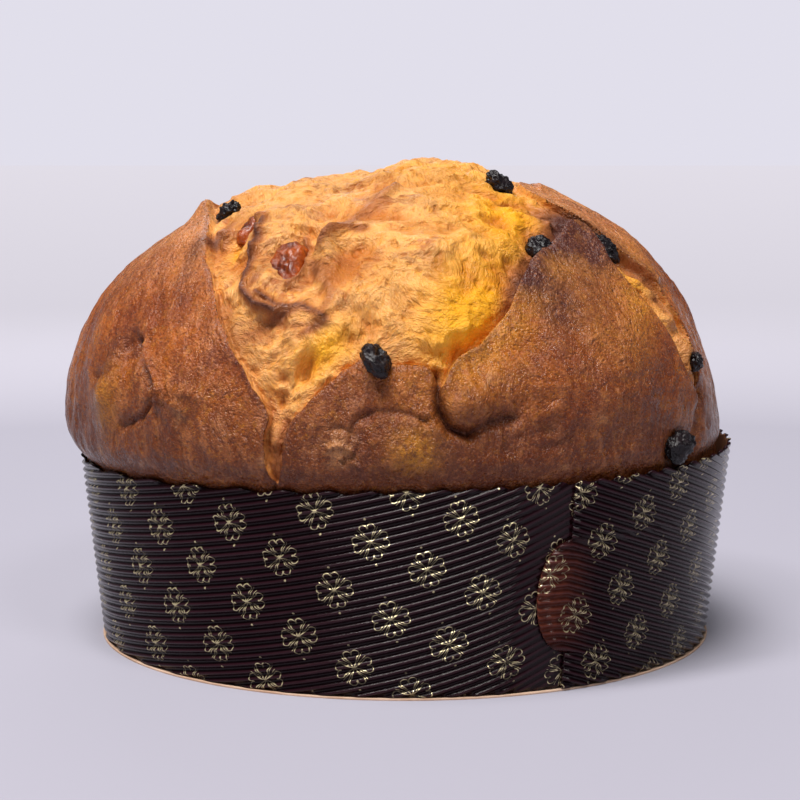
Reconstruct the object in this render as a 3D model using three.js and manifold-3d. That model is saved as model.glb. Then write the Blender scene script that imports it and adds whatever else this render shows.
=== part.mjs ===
/**
 * Panettone in its low paper case.
 *
 * A one-kilogram loaf of the wide, low kind. The dough has risen far over the rim of a
 * corrugated paper case and burst along its cross cut, so thick flaps of brown crust stand
 * round a torn mass of yellow crumb. Raisins and candied orange peel show in the top.
 *
 * Units are millimetres, +Z is up, and the front of the loaf faces -Y. The origin is the middle
 * of the underside. Directions round the loaf are longitudes in degrees, 0 at the front and
 * positive towards +X. A place on the dome is [longitude, polar], where polar is the angle
 * from straight up, seen from the middle of the dome.
 */
import * as THREE from "three";
import { mergeVertices } from "three/addons/utils/BufferGeometryUtils.js";
import Module from "manifold-3d";

const wasm = await Module();
wasm.setup();

const DEG = Math.PI / 180;
const GAP = 0.3; // clearance between pieces that touch

// Driving sizes

const CASE = {
  height: 62, // wall height above the underside, on average round the rim
  baseRadius: 99.7, // inside radius at the bottom
  rimRadius: 106.6, // inside radius at the rim
  rimTilt: 2.3, // the rim stands this much higher on the +X side, and lower on the -X side
  paper: 0.35, // thickness in the valleys of the corrugation
  fluteDepth: 0.9, // crest above valley
  flutePitch: 2.5,
  seamLongitude: 27, // where the end of the wall strip shows
  overlap: 12, // length of strip hidden under that end
  tabReach: 10, // the round tab on the end sticks out this far
  tabHalfHeight: 17,
  tabMiddle: 29, // height of the tab's middle
  liftLength: 34, // the end that shows rises off the wall under it over this length
  columns: 36, // facets round the wall
};

// Slope of the flutes against the rim. The strip is cut from flat corrugated paper along an arc,
// so the flutes lean more and more towards its two ends.
const FLUTE_SLOPE = {
  right: 0.36, // at the end that shows, falling to nothing halfway round
  left: 0.24, // at the other end, also falling to nothing halfway round
  bend: 0.26, // added next to the seam, where the paper was pulled
  bendLength: 32,
};

const BASE = { radius: 101.3, thickness: 0.6, facets: 60 };

const DOME = {
  middle: 70, // height of the widest level
  rise: 84.5, // from the widest level to the top
  halfWidth: 108,
  forward: 1.5, // the front bulges this much further than the back
  leftward: 3, // the -X side bulges this much further than the +X side
  roundness: 2.17, // exponent of the outline, 2 for an ellipse
  polarAtRim: 96, // polar angle of the ring where the crust meets the rim
  cells: 48, // grid cells across the whole dome
};

const SNAP = 0.36; // grid points this share of a cell from the tear are moved onto it
const MM_PER_DEGREE = 1.9; // length on the dome for one degree of polar angle

// Outline of the tear: places on the dome where crust gives way to crumb, clockwise from the
// crack at the front, seen from above. Straight runs need few points and torn corners need more.
const TEAR = [
  [-24, 85], [-22, 82], [-25, 78], [-30, 72], [-34, 67], [-38, 62], [-43, 57], [-50, 51],
  [-62, 45], [-80, 40], [-98, 37], [-112, 40], [-132, 36], [-148, 39], [-156, 50], [-162, 62],
  [-166, 50], [-174, 39], [160, 35], [130, 33], [105, 31], [84, 31], [66, 29], [53, 31],
  [50, 37], [51, 43], [54, 49], [57, 56], [61, 65], [63, 76], [60, 84], [56, 80], [52, 70],
  [47, 60], [46, 53], [44, 49], [37, 52], [30, 55.5], [23.5, 60.5], [20, 65], [14, 71], [8, 75],
  [5.5, 79], [3, 76.5], [-2, 76], [-7, 75], [-12, 79], [-17, 84], [-20, 87],
];

const LIP = {
  height: 2, // crust edge above the dome
  width: 9, // how far back from the edge the crust has lifted
  moat: 4.2, // crumb below the dome just inside the edge
  moatWidth: 9,
};

// Where the edge of the crust stands higher: place, radius of the effect, added height.
const LIP_PEAKS = [
  { at: [44, 49], radius: 16, height: 3.6 }, // tip of the right-hand flap
  { at: [24, 60], radius: 14, height: 2.2 },
  { at: [-69, 42.5], radius: 12, height: 4.8 }, // top of the left-hand flap
  { at: [78, 33], radius: 8, height: 4 }, // horn on the flap behind
  { at: [5, 76], radius: 10, height: 1.6 },
  { at: [-150, 42], radius: 14, height: 4 },
  { at: [140, 33], radius: 12, height: 3 },
];

// Swellings and hollows: place, half sizes along and across, turn in degrees, height.
const MOUNDS = [
  { at: [2, 56], half: [26, 20], turn: 0, height: 4.5 }, // burst crumb at the front
  { at: [10, 22], half: [26, 18], turn: 0, height: 2.5 },
  { at: [-88, 30], half: [40, 30], turn: 0, height: -6 }, // the crown slopes away to the left
  { at: [-90, 22], half: [30, 22], turn: 0, height: -2.6 },
  { at: [-47, 17.5], half: [13, 55], turn: 0, height: -3.4 },
  { at: [-72, 41], half: [9, 8], turn: 0, height: 4 },
  { at: [-52, 37.5], half: [7, 8], turn: 0, height: -3.6 },
  { at: [-24, 30], half: [7, 8], turn: 0, height: -2 },
  { at: [17, 18], half: [7, 8], turn: 0, height: -2.4 },
  { at: [-88, 56], half: [34, 40], turn: 0, height: -1.8 },
  { at: [85, 30], half: [20, 14], turn: 0, height: -4 },
  { at: [-88, 84], half: [40, 30], turn: 0, height: 1.6 },
  { at: [-24, 59], half: [9, 6], turn: 62, height: -6 }, // bowl of the swirl, holding peel
  { at: [-41, 51], half: [8, 5], turn: 60, height: -4 }, // second hollow with peel
  { at: [-17, 79], half: [12, 7], turn: 30, height: -4 }, // hollow behind the front flap
  { at: [12, 80], half: [14, 6.5], turn: 5, height: 4.2 }, // pillow folded over the front flap
  { at: [-1, 87], half: [14, 7], turn: 5, height: 2 }, // blister
  { at: [-44, 82], half: [6, 9], turn: 20, height: -4.5 }, // pinch in the left-hand flap
  { at: [-58, 80], half: [13, 10], turn: 0, height: 2.5 },
  { at: [-30, 86], half: [16, 12], turn: 0, height: 2 },
  { at: [38, 76], half: [30, 20], turn: 0, height: 2.5 },
  { at: [78, 76], half: [26, 30], turn: 0, height: -4 }, // flap behind sits further in
  { at: [112, 70], half: [24, 20], turn: 0, height: 1.5 },
  { at: [170, 72], half: [30, 20], turn: 0, height: 3.5 },
  { at: [-135, 72], half: [26, 20], turn: 0, height: 3 },
  { at: [150, 80], half: [7, 8], turn: 30, height: -4 },
];

// Grain of the torn crumb: long soft crags, in millimetres.
const CRAG = { height: 0.9, length: 19, breadth: 11 };

// Long folds: points they run through, half width, height (negative for a groove).
const FOLDS = [
  { path: [[-21, 84], [-18.5, 90], [-18, 98]], width: 3.2, height: -4.5 }, // crack to the rim
  { path: [[61, 82], [57, 90], [56, 98]], width: 4, height: -5 }, // channel behind the right flap
  { path: [[-160, 58], [-162, 70], [-165, 98]], width: 3.6, height: -5 },
  { path: [[-112, 38], [-114, 50], [-120, 62]], width: 3.4, height: -4 },
  { path: [[-33, 50], [-33, 57], [-31, 61], [-28, 65], [-22, 67], [-15, 64]], width: 3.2, height: 4 },
  { path: [[-26, 51], [-20, 52], [-17, 56], [-17, 61]], width: 3, height: 3 },
  { path: [[-4, 34], [-10, 41], [-14, 48], [-17, 54]], width: 3.2, height: 2.2 },
  { path: [[5, 81], [8, 85], [13, 85], [17, 82]], width: 2.4, height: -4.5 }, // under the pillow
  { path: [[-9, 86], [-7, 83], [-2, 82], [3, 84]], width: 2.2, height: 1.4 },
  { path: [[-58, 75], [-50, 76], [-45, 79], [-43, 84], [-46, 88]], width: 2.8, height: -2.8 },
  { path: [[20, 30], [30, 38], [38, 44]], width: 3.4, height: -2.4 },
  { path: [[-140, 55], [-135, 66], [-128, 74]], width: 3, height: -2.6 },
  { path: [[118, 50], [124, 62], [122, 74]], width: 3, height: -2.6 },
];

// Raisins: place, length, turn of the long side, and how far the middle stands off the crumb.
const RAISINS = [
  { at: [-5.4, 75.3], length: 12.5, turn: 80, proud: 2.4 },
  { at: [-54, 44.5], length: 9.5, turn: 10, proud: 0.7 },
  { at: [38, 31], length: 11.5, turn: -15, proud: 1.4 },
  { at: [30.8, 52.9], length: 10.5, turn: 50, proud: 1 },
  { at: [52, 53.5], length: 11, turn: -10, proud: 0.3 },
  { at: [59.6, 76.8], length: 8.5, turn: 60, proud: 1 },
  { at: [50, 90], length: 14, turn: 65, proud: 0.5 },
  { at: [-128, 58], length: 11, turn: 30, proud: 1.2 },
  { at: [-166, 66], length: 11.5, turn: 75, proud: 2 },
  { at: [150, 46], length: 10, turn: 0, proud: 1.8 },
  { at: [124, 74], length: 11, turn: 40, proud: 1.6 },
  { at: [-100, 78], length: 10, turn: 20, proud: 1.4 },
];
const RAISIN_SHAPE = [1, 0.78, 0.62]; // length, breadth and thickness, as shares of the length

// Candied orange peel: place, length, breadth and thickness, turn, and how far it stands off.
const PEEL = [
  { at: [-24.2, 57.2], size: [14, 8, 7], turn: 62, proud: -0.3 },
  { at: [-39.3, 49.6], size: [11, 6.5, 5.5], turn: 60, proud: -0.3 },
  { at: [165, 44], size: [11, 7, 6], turn: 20, proud: 0.4 },
];

const COLOURS = {
  crust: 0x9a5a2c,
  paper: 0x2a1a1c,
  paperBase: 0x8a5a34,
  raisin: 0x17141a,
  peel: 0xb4480f,
};

// Small helpers

/** Smooth step from 0 at a to 1 at b. */
function ease(a, b, x) {
  const t = Math.min(1, Math.max(0, (x - a) / (b - a)));
  return t * t * (3 - 2 * t);
}

/** Flat map of the dome: the point at polar degrees from the middle, in the direction of the longitude. */
function toMap([longitude, polar]) {
  return [polar * Math.sin(longitude * DEG), -polar * Math.cos(longitude * DEG)];
}

/** Inside radius of the case at a height. */
function caseRadius(z) {
  return CASE.baseRadius + ((CASE.rimRadius - CASE.baseRadius) * z) / CASE.height;
}

/** Height of the rim at a longitude in radians. */
function rimHeight(longitude) {
  return CASE.height + CASE.rimTilt * Math.sin(longitude);
}

/** A solid from a three.js geometry, which has to be closed. */
function solidOf(geometry) {
  const bare = new THREE.BufferGeometry();
  bare.setAttribute("position", geometry.getAttribute("position"));
  if (geometry.index) bare.setIndex(geometry.index);
  const merged = mergeVertices(bare, 1e-3);
  return new wasm.Manifold(
    new wasm.Mesh({
      numProp: 3,
      vertProperties: merged.attributes.position.array,
      triVerts: new Uint32Array(merged.index.array),
    }),
  );
}

/** A three.js geometry from a solid. */
function geometryOf(solid) {
  const mesh = solid.getMesh();
  const geometry = new THREE.BufferGeometry();
  geometry.setAttribute("position", new THREE.BufferAttribute(mesh.vertProperties, 3));
  geometry.setIndex(new THREE.BufferAttribute(mesh.triVerts, 1));
  geometry.computeVertexNormals();
  return geometry;
}

/** A geometry from lists of points and of triangles. */
function geometryFrom(points, triangles) {
  const geometry = new THREE.BufferGeometry();
  geometry.setAttribute("position", new THREE.Float32BufferAttribute(points.flat(), 3));
  geometry.setIndex(triangles.flat());
  return geometry;
}

// The dome before it tore

/** Half width of the dome at its widest level. */
function domeHalfWidth(longitude) {
  return DOME.halfWidth + DOME.forward * Math.cos(longitude) - DOME.leftward * Math.sin(longitude);
}

/** Point on the smooth dome, rolled in under itself to meet the rim beyond 90 degrees. */
function domePoint(longitude, polar) {
  const halfWidth = domeHalfWidth(longitude);
  let radius;
  let z;
  if (polar <= 90) {
    const power = DOME.roundness - 0.1 * Math.sin(longitude);
    const across = Math.sin(polar * DEG);
    const up = Math.cos(polar * DEG);
    const reach = ((across / halfWidth) ** power + (up / DOME.rise) ** power) ** (-1 / power);
    radius = reach * across;
    z = DOME.middle + reach * up;
  } else {
    const roll = (polar - 90) / (DOME.polarAtRim - 90);
    radius = halfWidth - (halfWidth - seatRadius(longitude)) * roll ** 2;
    z = DOME.middle - (DOME.middle - seatHeight(longitude)) * roll;
  }
  return new THREE.Vector3(radius * Math.sin(longitude), -radius * Math.cos(longitude), z);
}

/** Radius where the crust passes the rim: close inside the case, or further in on the slack side. */
function seatRadius(longitude) {
  return Math.min(caseRadius(CASE.height) - 0.7, domeHalfWidth(longitude) - 2);
}

/** Height where the crust passes the rim. */
function seatHeight(longitude) {
  return rimHeight(longitude) + 0.5;
}

// The tear and the relief

const tearOutline = new THREE.CatmullRomCurve3(
  TEAR.map((place) => new THREE.Vector3(...toMap(place), 0)),
  true,
  "centripetal",
)
  .getPoints(TEAR.length * 4)
  .map((p) => [p.x, p.y]);

const foldPaths = FOLDS.map((fold) => fold.path.map(toMap));

/** Distance in map degrees from a map point to a line through points, and the way to it. */
function nearestOn(path, u, v, closed) {
  let best = { distance: Infinity, du: 0, dv: 0 };
  const last = closed ? path.length : path.length - 1;
  for (let i = 0; i < last; i++) {
    const [au, av] = path[i];
    const [bu, bv] = path[(i + 1) % path.length];
    const [su, sv] = [bu - au, bv - av];
    const span = su * su + sv * sv || 1e-9;
    const t = Math.min(1, Math.max(0, ((u - au) * su + (v - av) * sv) / span));
    const [du, dv] = [au + t * su - u, av + t * sv - v];
    const distance = Math.hypot(du, dv);
    if (distance < best.distance) best = { distance, du, dv };
  }
  return best;
}

/** Whether a map point is inside the tear. */
function insideTear(u, v) {
  let inside = false;
  tearOutline.forEach(([au, av], i) => {
    const [bu, bv] = tearOutline[(i + 1) % tearOutline.length];
    if (av > v !== bv > v && u < ((bu - au) * (v - av)) / (bv - av) + au) inside = !inside;
  });
  return inside;
}

/** Bell-shaped share, 1 at a place and falling off over half sizes given in millimetres. */
function bell(u, v, place, [halfAlong, halfAcross], turn) {
  const [pu, pv] = toMap(place);
  const [du, dv] = [(u - pu) * MM_PER_DEGREE, (v - pv) * MM_PER_DEGREE];
  const [c, s] = [Math.cos(turn * DEG), Math.sin(turn * DEG)];
  const along = (du * c + dv * s) / halfAlong;
  const across = (dv * c - du * s) / halfAcross;
  return Math.exp(-(along ** 2 + across ** 2));
}

/** Soft crags of the torn crumb, fading out towards the crust. */
function crags(u, v, edge) {
  const [x, y] = [(u * MM_PER_DEGREE) / CRAG.length, (v * MM_PER_DEGREE) / CRAG.breadth];
  const wave = Math.sin(x * 2.1 + Math.sin(y * 1.7)) + Math.sin(y * 2.6 + 1.3 * Math.sin(x * 1.9 + 0.6));
  return CRAG.height * wave * ease(0, 10, edge);
}

/** Height of the torn and folded surface over the smooth dome, in millimetres. */
function relief(u, v) {
  const near = nearestOn(tearOutline, u, v, true);
  const edge = near.distance * MM_PER_DEGREE;
  const peak = LIP_PEAKS.reduce(
    (sum, p) => sum + p.height * bell(u, v, p.at, [p.radius, p.radius], 0),
    LIP.height,
  );
  let height =
    insideTear(u, v) && edge > 0.05
      ? crags(u, v, edge) - LIP.moat * Math.exp(-edge / LIP.moatWidth)
      : peak * Math.exp(-edge / LIP.width);
  for (const m of MOUNDS) height += m.height * bell(u, v, m.at, m.half, m.turn);
  FOLDS.forEach((fold, i) => {
    const away = nearestOn(foldPaths[i], u, v, false).distance * MM_PER_DEGREE;
    height += fold.height * Math.exp(-((away / fold.width) ** 2));
  });
  return height;
}

/** Point on the finished loaf above the rim, from a map point. */
function loafPoint(u, v) {
  const polar = Math.hypot(u, v);
  const longitude = Math.atan2(u, -v);
  const point = domePoint(longitude, polar);
  const outward = new THREE.Vector3(point.x, point.y, point.z - DOME.middle).normalize();
  const raised = relief(u, v);
  const kept = 1 - ease(88, DOME.polarAtRim, polar); // the rim holds the crust in
  return point.addScaledVector(outward, raised > 0 ? raised * kept : raised * (0.5 + 0.5 * kept));
}

// Loaf

/** Map point of a square grid's node, with the square pulled out to a disc. */
function discPoint(i, j) {
  const x = (2 * i) / DOME.cells - 1;
  const y = (2 * j) / DOME.cells - 1;
  return [
    DOME.polarAtRim * x * Math.sqrt(1 - (y * y) / 2),
    DOME.polarAtRim * y * Math.sqrt(1 - (x * x) / 2),
  ];
}

/** The two triangles of each cell of the dome's grid, with the short diagonals outwards. */
function gridTriangles() {
  const n = DOME.cells;
  const triangles = [];
  for (let j = 0; j < n; j++)
    for (let i = 0; i < n; i++) {
      const a = j * (n + 1) + i;
      const [b, c, d] = [a + 1, a + n + 2, a + n + 1];
      const rising = (i - n / 2 + 0.5) * (j - n / 2 + 0.5) > 0;
      if (rising) triangles.push([a, b, d], [b, c, d]);
      else triangles.push([a, b, c], [a, c, d]);
    }
  return triangles;
}

/** Map points of the dome's grid, moved so that every triangle lies on one side of the tear. */
function gridPoints(triangles) {
  const n = DOME.cells;
  const reach = (SNAP * 2 * DOME.polarAtRim) / n;
  const nodes = [];
  for (let j = 0; j <= n; j++)
    for (let i = 0; i <= n; i++) {
      const [u, v] = discPoint(i, j);
      const fixed = i === 0 || j === 0 || i === n || j === n;
      nodes.push({ u, v, fixed, onTear: false, inside: insideTear(u, v), ...nearestOn(tearOutline, u, v, true) });
    }
  const moveToTear = (node) => {
    node.u += node.du;
    node.v += node.dv;
    node.onTear = true;
  };
  nodes.filter((node) => !node.fixed && node.distance < reach).forEach(moveToTear);
  for (const corners of triangles)
    corners.forEach((k, side) => {
      const [one, other] = [nodes[k], nodes[corners[(side + 1) % 3]]];
      if (one.onTear || other.onTear || one.inside === other.inside) return;
      moveToTear(one.distance < other.distance ? one : other);
    });
  return nodes.map(({ u, v }) => loafPoint(u, v).toArray());
}

/** The whole loaf before the raisins and peel are set in: dome, sides in the case, underside. */
function makeLoaf() {
  const n = DOME.cells;
  const triangles = gridTriangles();
  const points = gridPoints(triangles);
  const index = (i, j) => j * (n + 1) + i;
  const rim = [];
  for (let i = 0; i < n; i++) rim.push(index(i, 0));
  for (let j = 0; j < n; j++) rim.push(index(n, j));
  for (let i = n; i > 0; i--) rim.push(index(i, n));
  for (let j = n; j > 0; j--) rim.push(index(0, j));

  // Inside the case the loaf is a plain frustum, down to a small chamfer at the bottom.
  const floor = BASE.thickness + GAP;
  const sides = [
    { z: 50, inset: 0.75 },
    { z: floor + 3, inset: 0.75 },
    { z: floor, inset: 4 },
  ];
  let above = rim;
  for (const { z, inset } of sides) {
    const radius = caseRadius(z) - inset;
    const ring = rim.map((k) => {
      const angle = Math.atan2(points[k][0], -points[k][1]);
      points.push([radius * Math.sin(angle), -radius * Math.cos(angle), z]);
      return points.length - 1;
    });
    ring.forEach((here, step) => {
      const next = (step + 1) % ring.length;
      triangles.push([above[step], here, above[next]], [here, ring[next], above[next]]);
    });
    above = ring;
  }
  points.push([0, 0, floor]);
  const middle = points.length - 1;
  above.forEach((here, step) => triangles.push([here, middle, above[(step + 1) % above.length]]));
  return solidOf(geometryFrom(points, triangles));
}

// Raisins and peel

/** Matrix that seats a piece on the whole loaf: its x axis along the surface, its z axis outwards. */
function seatOn(loafMesh, { at, turn, proud }) {
  const [u, v] = toMap(at);
  const step = 1.5;
  const here = loafPoint(u, v);
  const along = loafPoint(u + step, v).sub(loafPoint(u - step, v)).normalize();
  const across = loafPoint(u, v + step).sub(loafPoint(u, v - step)).normalize();
  const outward = new THREE.Vector3().crossVectors(along, across).normalize();
  const x = along.clone().applyAxisAngle(outward, turn * DEG);
  const y = new THREE.Vector3().crossVectors(outward, x);
  const above = here.clone().addScaledVector(outward, 30);
  const [hit] = new THREE.Raycaster(above, outward.clone().negate()).intersectObject(loafMesh);
  const middle = hit.point.addScaledVector(outward, proud);
  return new THREE.Matrix4().makeBasis(x, y, outward).setPosition(middle);
}

/** Repeatable number from 0 to 1 for a piece and a corner of it. */
function wobble(seed, corner) {
  const value = Math.sin(seed * 12.9898 + corner * 78.233) * 43758.5453;
  return value - Math.floor(value);
}

/** A dried grape: a flattened ball with a puckered skin. */
function raisinGeometry({ length }, seed, grow) {
  const geometry = mergeVertices(bareBall());
  const position = geometry.attributes.position;
  for (let i = 0; i < position.count; i++) {
    const pucker = 0.88 + 0.16 * wobble(seed, i);
    RAISIN_SHAPE.forEach((share, axis) => {
      const half = (length / 2) * share;
      const unit = position.getComponent(i, axis);
      position.setComponent(i, axis, unit * (half * pucker + grow));
    });
  }
  return geometry;
}

/** Unit ball without normals and uv, so that its shared corners can merge. */
function bareBall() {
  const ball = new THREE.IcosahedronGeometry(1, 1);
  ball.deleteAttribute("normal");
  ball.deleteAttribute("uv");
  return ball;
}

/** A strip of candied peel: a rough block with one end cut slanting. */
function peelGeometry({ size }, seed, grow) {
  const block = new THREE.BoxGeometry(1, 1, 1, 3, 2, 2);
  block.deleteAttribute("normal");
  block.deleteAttribute("uv");
  const geometry = mergeVertices(block);
  const position = geometry.attributes.position;
  for (let i = 0; i < position.count; i++) {
    const corner = [0, 1, 2].map((axis) => position.getComponent(i, axis));
    const round = 1 - 0.5 * corner[1] ** 2 - 0.5 * corner[2] ** 2;
    const taper = [round, 1 - 0.55 * corner[0] ** 2, 1 - 0.4 * (corner[0] + 0.5)];
    const rough = 0.92 + 0.14 * wobble(seed, i);
    corner.forEach((unit, axis) =>
      position.setComponent(i, axis, unit * (size[axis] * taper[axis] * rough + 2 * grow)),
    );
  }
  return geometry;
}

/** The piece as it is, and the solid of the slightly larger room it takes up in the loaf. */
function pieceAndSocket(loafMesh, shape, spec, seed) {
  const seat = seatOn(loafMesh, spec);
  return {
    geometry: shape(spec, seed, 0).applyMatrix4(seat),
    socket: solidOf(shape(spec, seed, GAP + 0.05).applyMatrix4(seat)),
  };
}

// Case

/** Height that a flute has gained at a place along the strip, from the middle of its right half. */
function fluteRise(along, length) {
  const half = length / 2;
  const { right, left, bend, bendLength } = FLUTE_SLOPE;
  const leftSum = (left * half) / 2 + bend * bendLength;
  if (along < half) {
    const rightSum = (right * half) / 2;
    return rightSum - leftSum - right * (along - along ** 2 / (2 * half));
  }
  const rest = length - along;
  const bent = bend * bendLength * (1 - Math.exp(-rest / bendLength));
  return -left * (rest - rest ** 2 / (2 * half)) - bent;
}

/** How far the round tab sticks out of the end of the strip at a height. */
function tabReach(z) {
  const share = (z - CASE.tabMiddle) / CASE.tabHalfHeight;
  return Math.abs(share) < 1 ? CASE.tabReach * Math.sqrt(1 - share ** 2) : 0;
}

/** The wall: one corrugated strip, rolled up with its end lying over its start. */
function makeWall() {
  const middleRadius = (CASE.baseRadius + CASE.rimRadius) / 2;
  const turnLength = 2 * Math.PI * middleRadius;
  const length = turnLength + CASE.overlap;
  const margin = 4; // above and below the cuts
  const tallest = CASE.height + CASE.rimTilt + margin;
  const tuckedStart = turnLength - CASE.tabReach - 3; // from here the strip lies under its other end
  const pressed = 0.2; // the flutes there are pressed down to this share of their depth
  const sag = middleRadius * (1 - Math.cos(Math.PI / CASE.columns)); // of a flat facet below the curve
  const lift = CASE.paper + CASE.fluteDepth * pressed + GAP + sag;
  const rowPhase = 0.5; // a crest row and a valley row for each flute
  const rise = (along) => fluteRise(Math.min(Math.max(along, 0), turnLength), turnLength);
  const rises = Array.from({ length: 101 }, (_, i) => rise((turnLength * i) / 100));
  const firstRow = Math.floor((-margin - Math.max(...rises)) / CASE.flutePitch / rowPhase);
  const lastRow = Math.ceil((tallest - Math.min(...rises)) / CASE.flutePitch / rowPhase);
  const rows = lastRow - firstRow;

  const place = (column, row) => {
    const share = column / CASE.columns;
    const phase = (firstRow + row) * rowPhase;
    let along = share * length;
    let z = 0;
    for (let pass = 0; pass < 4; pass++) {
      z = phase * CASE.flutePitch + rise(along);
      along = share * length - tabReach(z) * (1 - share) ** 6;
    }
    return { along, z, phase };
  };
  const roll = (along, z, outwards) => {
    const angle = CASE.seamLongitude * DEG + along / middleRadius;
    const lifted = lift * (1 - ease(CASE.overlap, CASE.liftLength, along));
    const radius = caseRadius(z) + lifted + outwards;
    return [radius * Math.sin(angle), -radius * Math.cos(angle), z];
  };

  const points = [];
  const triangles = [];
  for (let column = 0; column <= CASE.columns; column++)
    for (let row = 0; row <= rows; row++) {
      const { along, z, phase } = place(column, row);
      const crest = 0.5 + 0.5 * Math.cos(2 * Math.PI * phase);
      const standing = 1 - (1 - pressed) * ease(tuckedStart - 6, tuckedStart, along);
      points.push(roll(along, z, CASE.paper + CASE.fluteDepth * crest * standing));
    }
  const outer = (column, row) => column * (rows + 1) + row;
  for (let column = 0; column < CASE.columns; column++)
    for (let row = 0; row < rows; row++) {
      const [a, b] = [outer(column, row), outer(column + 1, row)];
      triangles.push([a, b, a + 1], [b, b + 1, a + 1]);
    }

  // The smooth inside has one tall facet for each column.
  const inner = [];
  for (let column = 0; column <= CASE.columns; column++)
    inner.push(
      [0, rows].map((row) => {
        const { along, z } = place(column, row);
        points.push(roll(along, z, 0));
        return points.length - 1;
      }),
    );
  for (let column = 0; column < CASE.columns; column++) {
    const [[low, high], [nextLow, nextHigh]] = [inner[column], inner[column + 1]];
    triangles.push([low, high, nextLow], [nextLow, high, nextHigh]);
    triangles.push([outer(column, 0), low, outer(column + 1, 0)]);
    triangles.push([low, nextLow, outer(column + 1, 0)]);
    triangles.push([outer(column, rows), outer(column + 1, rows), high]);
    triangles.push([high, outer(column + 1, rows), nextHigh]);
  }
  const closeEnd = (column, flip) => {
    const [low, high] = inner[column];
    const middle = Math.round(rows / 2);
    for (let row = 0; row < rows; row++) {
      const corner = row < middle ? low : high;
      const fan = [outer(column, row), outer(column, row + 1), corner];
      triangles.push(flip ? fan.reverse() : fan);
    }
    const link = [low, outer(column, middle), high];
    triangles.push(flip ? link.reverse() : link);
  };
  closeEnd(0, false);
  closeEnd(CASE.columns, true);
  return solidOf(geometryFrom(points, triangles));
}

/** Cuts the rolled strip level at the bottom and along the slightly tilted rim. */
function trimWall(strip) {
  const tilt = CASE.rimTilt / CASE.rimRadius;
  const up = Math.hypot(tilt, 1);
  return strip
    .trimByPlane([0, 0, 1], BASE.thickness + GAP)
    .trimByPlane([tilt / up, 0, -1 / up], -CASE.height / up);
}

/** The round card that closes the bottom of the case. */
function makeBase() {
  const disc = new THREE.CylinderGeometry(BASE.radius, BASE.radius, BASE.thickness, BASE.facets);
  return disc.rotateX(Math.PI / 2).translate(0, 0, BASE.thickness / 2);
}

// Assembly

const panettone = new THREE.Group();

/** Adds a named piece with its own material. */
function add(name, geometry, color, roughness) {
  const material = new THREE.MeshStandardMaterial({ color, roughness, metalness: 0 });
  const mesh = new THREE.Mesh(geometry, material);
  mesh.name = name;
  panettone.add(mesh);
}

const wholeLoaf = makeLoaf();
const loafMesh = new THREE.Mesh(geometryOf(wholeLoaf));
const raisins = RAISINS.map((spec, i) => pieceAndSocket(loafMesh, raisinGeometry, spec, i + 1));
const peel = PEEL.map((spec, i) => pieceAndSocket(loafMesh, peelGeometry, spec, i + 31));
const loaf = [...raisins, ...peel].reduce((left, { socket }) => left.subtract(socket), wholeLoaf);

add("loaf", geometryOf(loaf), COLOURS.crust, 0.5);
add("case_wall", geometryOf(trimWall(makeWall())), COLOURS.paper, 0.6);
add("case_base", makeBase(), COLOURS.paperBase, 0.8);
raisins.forEach(({ geometry }, i) => add(`raisin_${i + 1}`, geometry, COLOURS.raisin, 0.35));
peel.forEach(({ geometry }, i) => add(`peel_${i + 1}`, geometry, COLOURS.peel, 0.3));

export default panettone;
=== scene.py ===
"""Panettone in its low paper case, dressed for the camera.

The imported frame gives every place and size. The loaf's smooth dome and its tear are worked out
again here from the same driving sizes, at a finer scale, and the raisins, the peel, the fluted
case and the base are modelled round the frame's nodes.

Lengths are in millimetres until a mesh is finished, and then in metres. A place on the dome is a
longitude, 0 at the front and positive towards +X, and a polar angle from straight up. The map is
the dome laid out flat round its top, with polar degrees as the distance from the middle.
"""

import logging
import math
from dataclasses import dataclass, field
from enum import Enum

import bpy
import numpy as np
from mathutils import Matrix, Vector


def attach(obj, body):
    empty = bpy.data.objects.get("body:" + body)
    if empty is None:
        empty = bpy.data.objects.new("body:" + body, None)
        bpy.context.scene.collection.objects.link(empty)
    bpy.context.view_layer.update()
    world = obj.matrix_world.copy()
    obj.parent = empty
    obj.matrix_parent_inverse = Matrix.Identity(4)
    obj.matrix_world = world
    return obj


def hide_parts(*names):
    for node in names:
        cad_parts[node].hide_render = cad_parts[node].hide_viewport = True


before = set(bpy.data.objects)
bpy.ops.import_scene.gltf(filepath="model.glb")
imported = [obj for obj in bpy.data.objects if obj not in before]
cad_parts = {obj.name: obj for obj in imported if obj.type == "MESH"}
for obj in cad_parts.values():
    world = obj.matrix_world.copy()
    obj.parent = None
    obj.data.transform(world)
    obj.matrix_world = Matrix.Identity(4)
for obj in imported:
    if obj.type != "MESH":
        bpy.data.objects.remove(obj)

LOG = logging.getLogger("panettone")
Array = np.ndarray
Triple = tuple[float, float, float]
Colour = Triple
Place = tuple[float, float]

BODY = "root"
MM = 0.001
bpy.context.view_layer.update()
MM_PER_DEGREE = 1.9  # length on the dome for one degree of polar angle
DOME_MIDDLE = 70.0  # height that polar angles are measured from
CRAG_SIZE = (19.0, 11.0)  # length and breadth of the crumb's broad crags
FINE_SHARE = 0.37  # strength of a detail spot at the edge of its finest mesh


# Noise and small shaping functions


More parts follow.
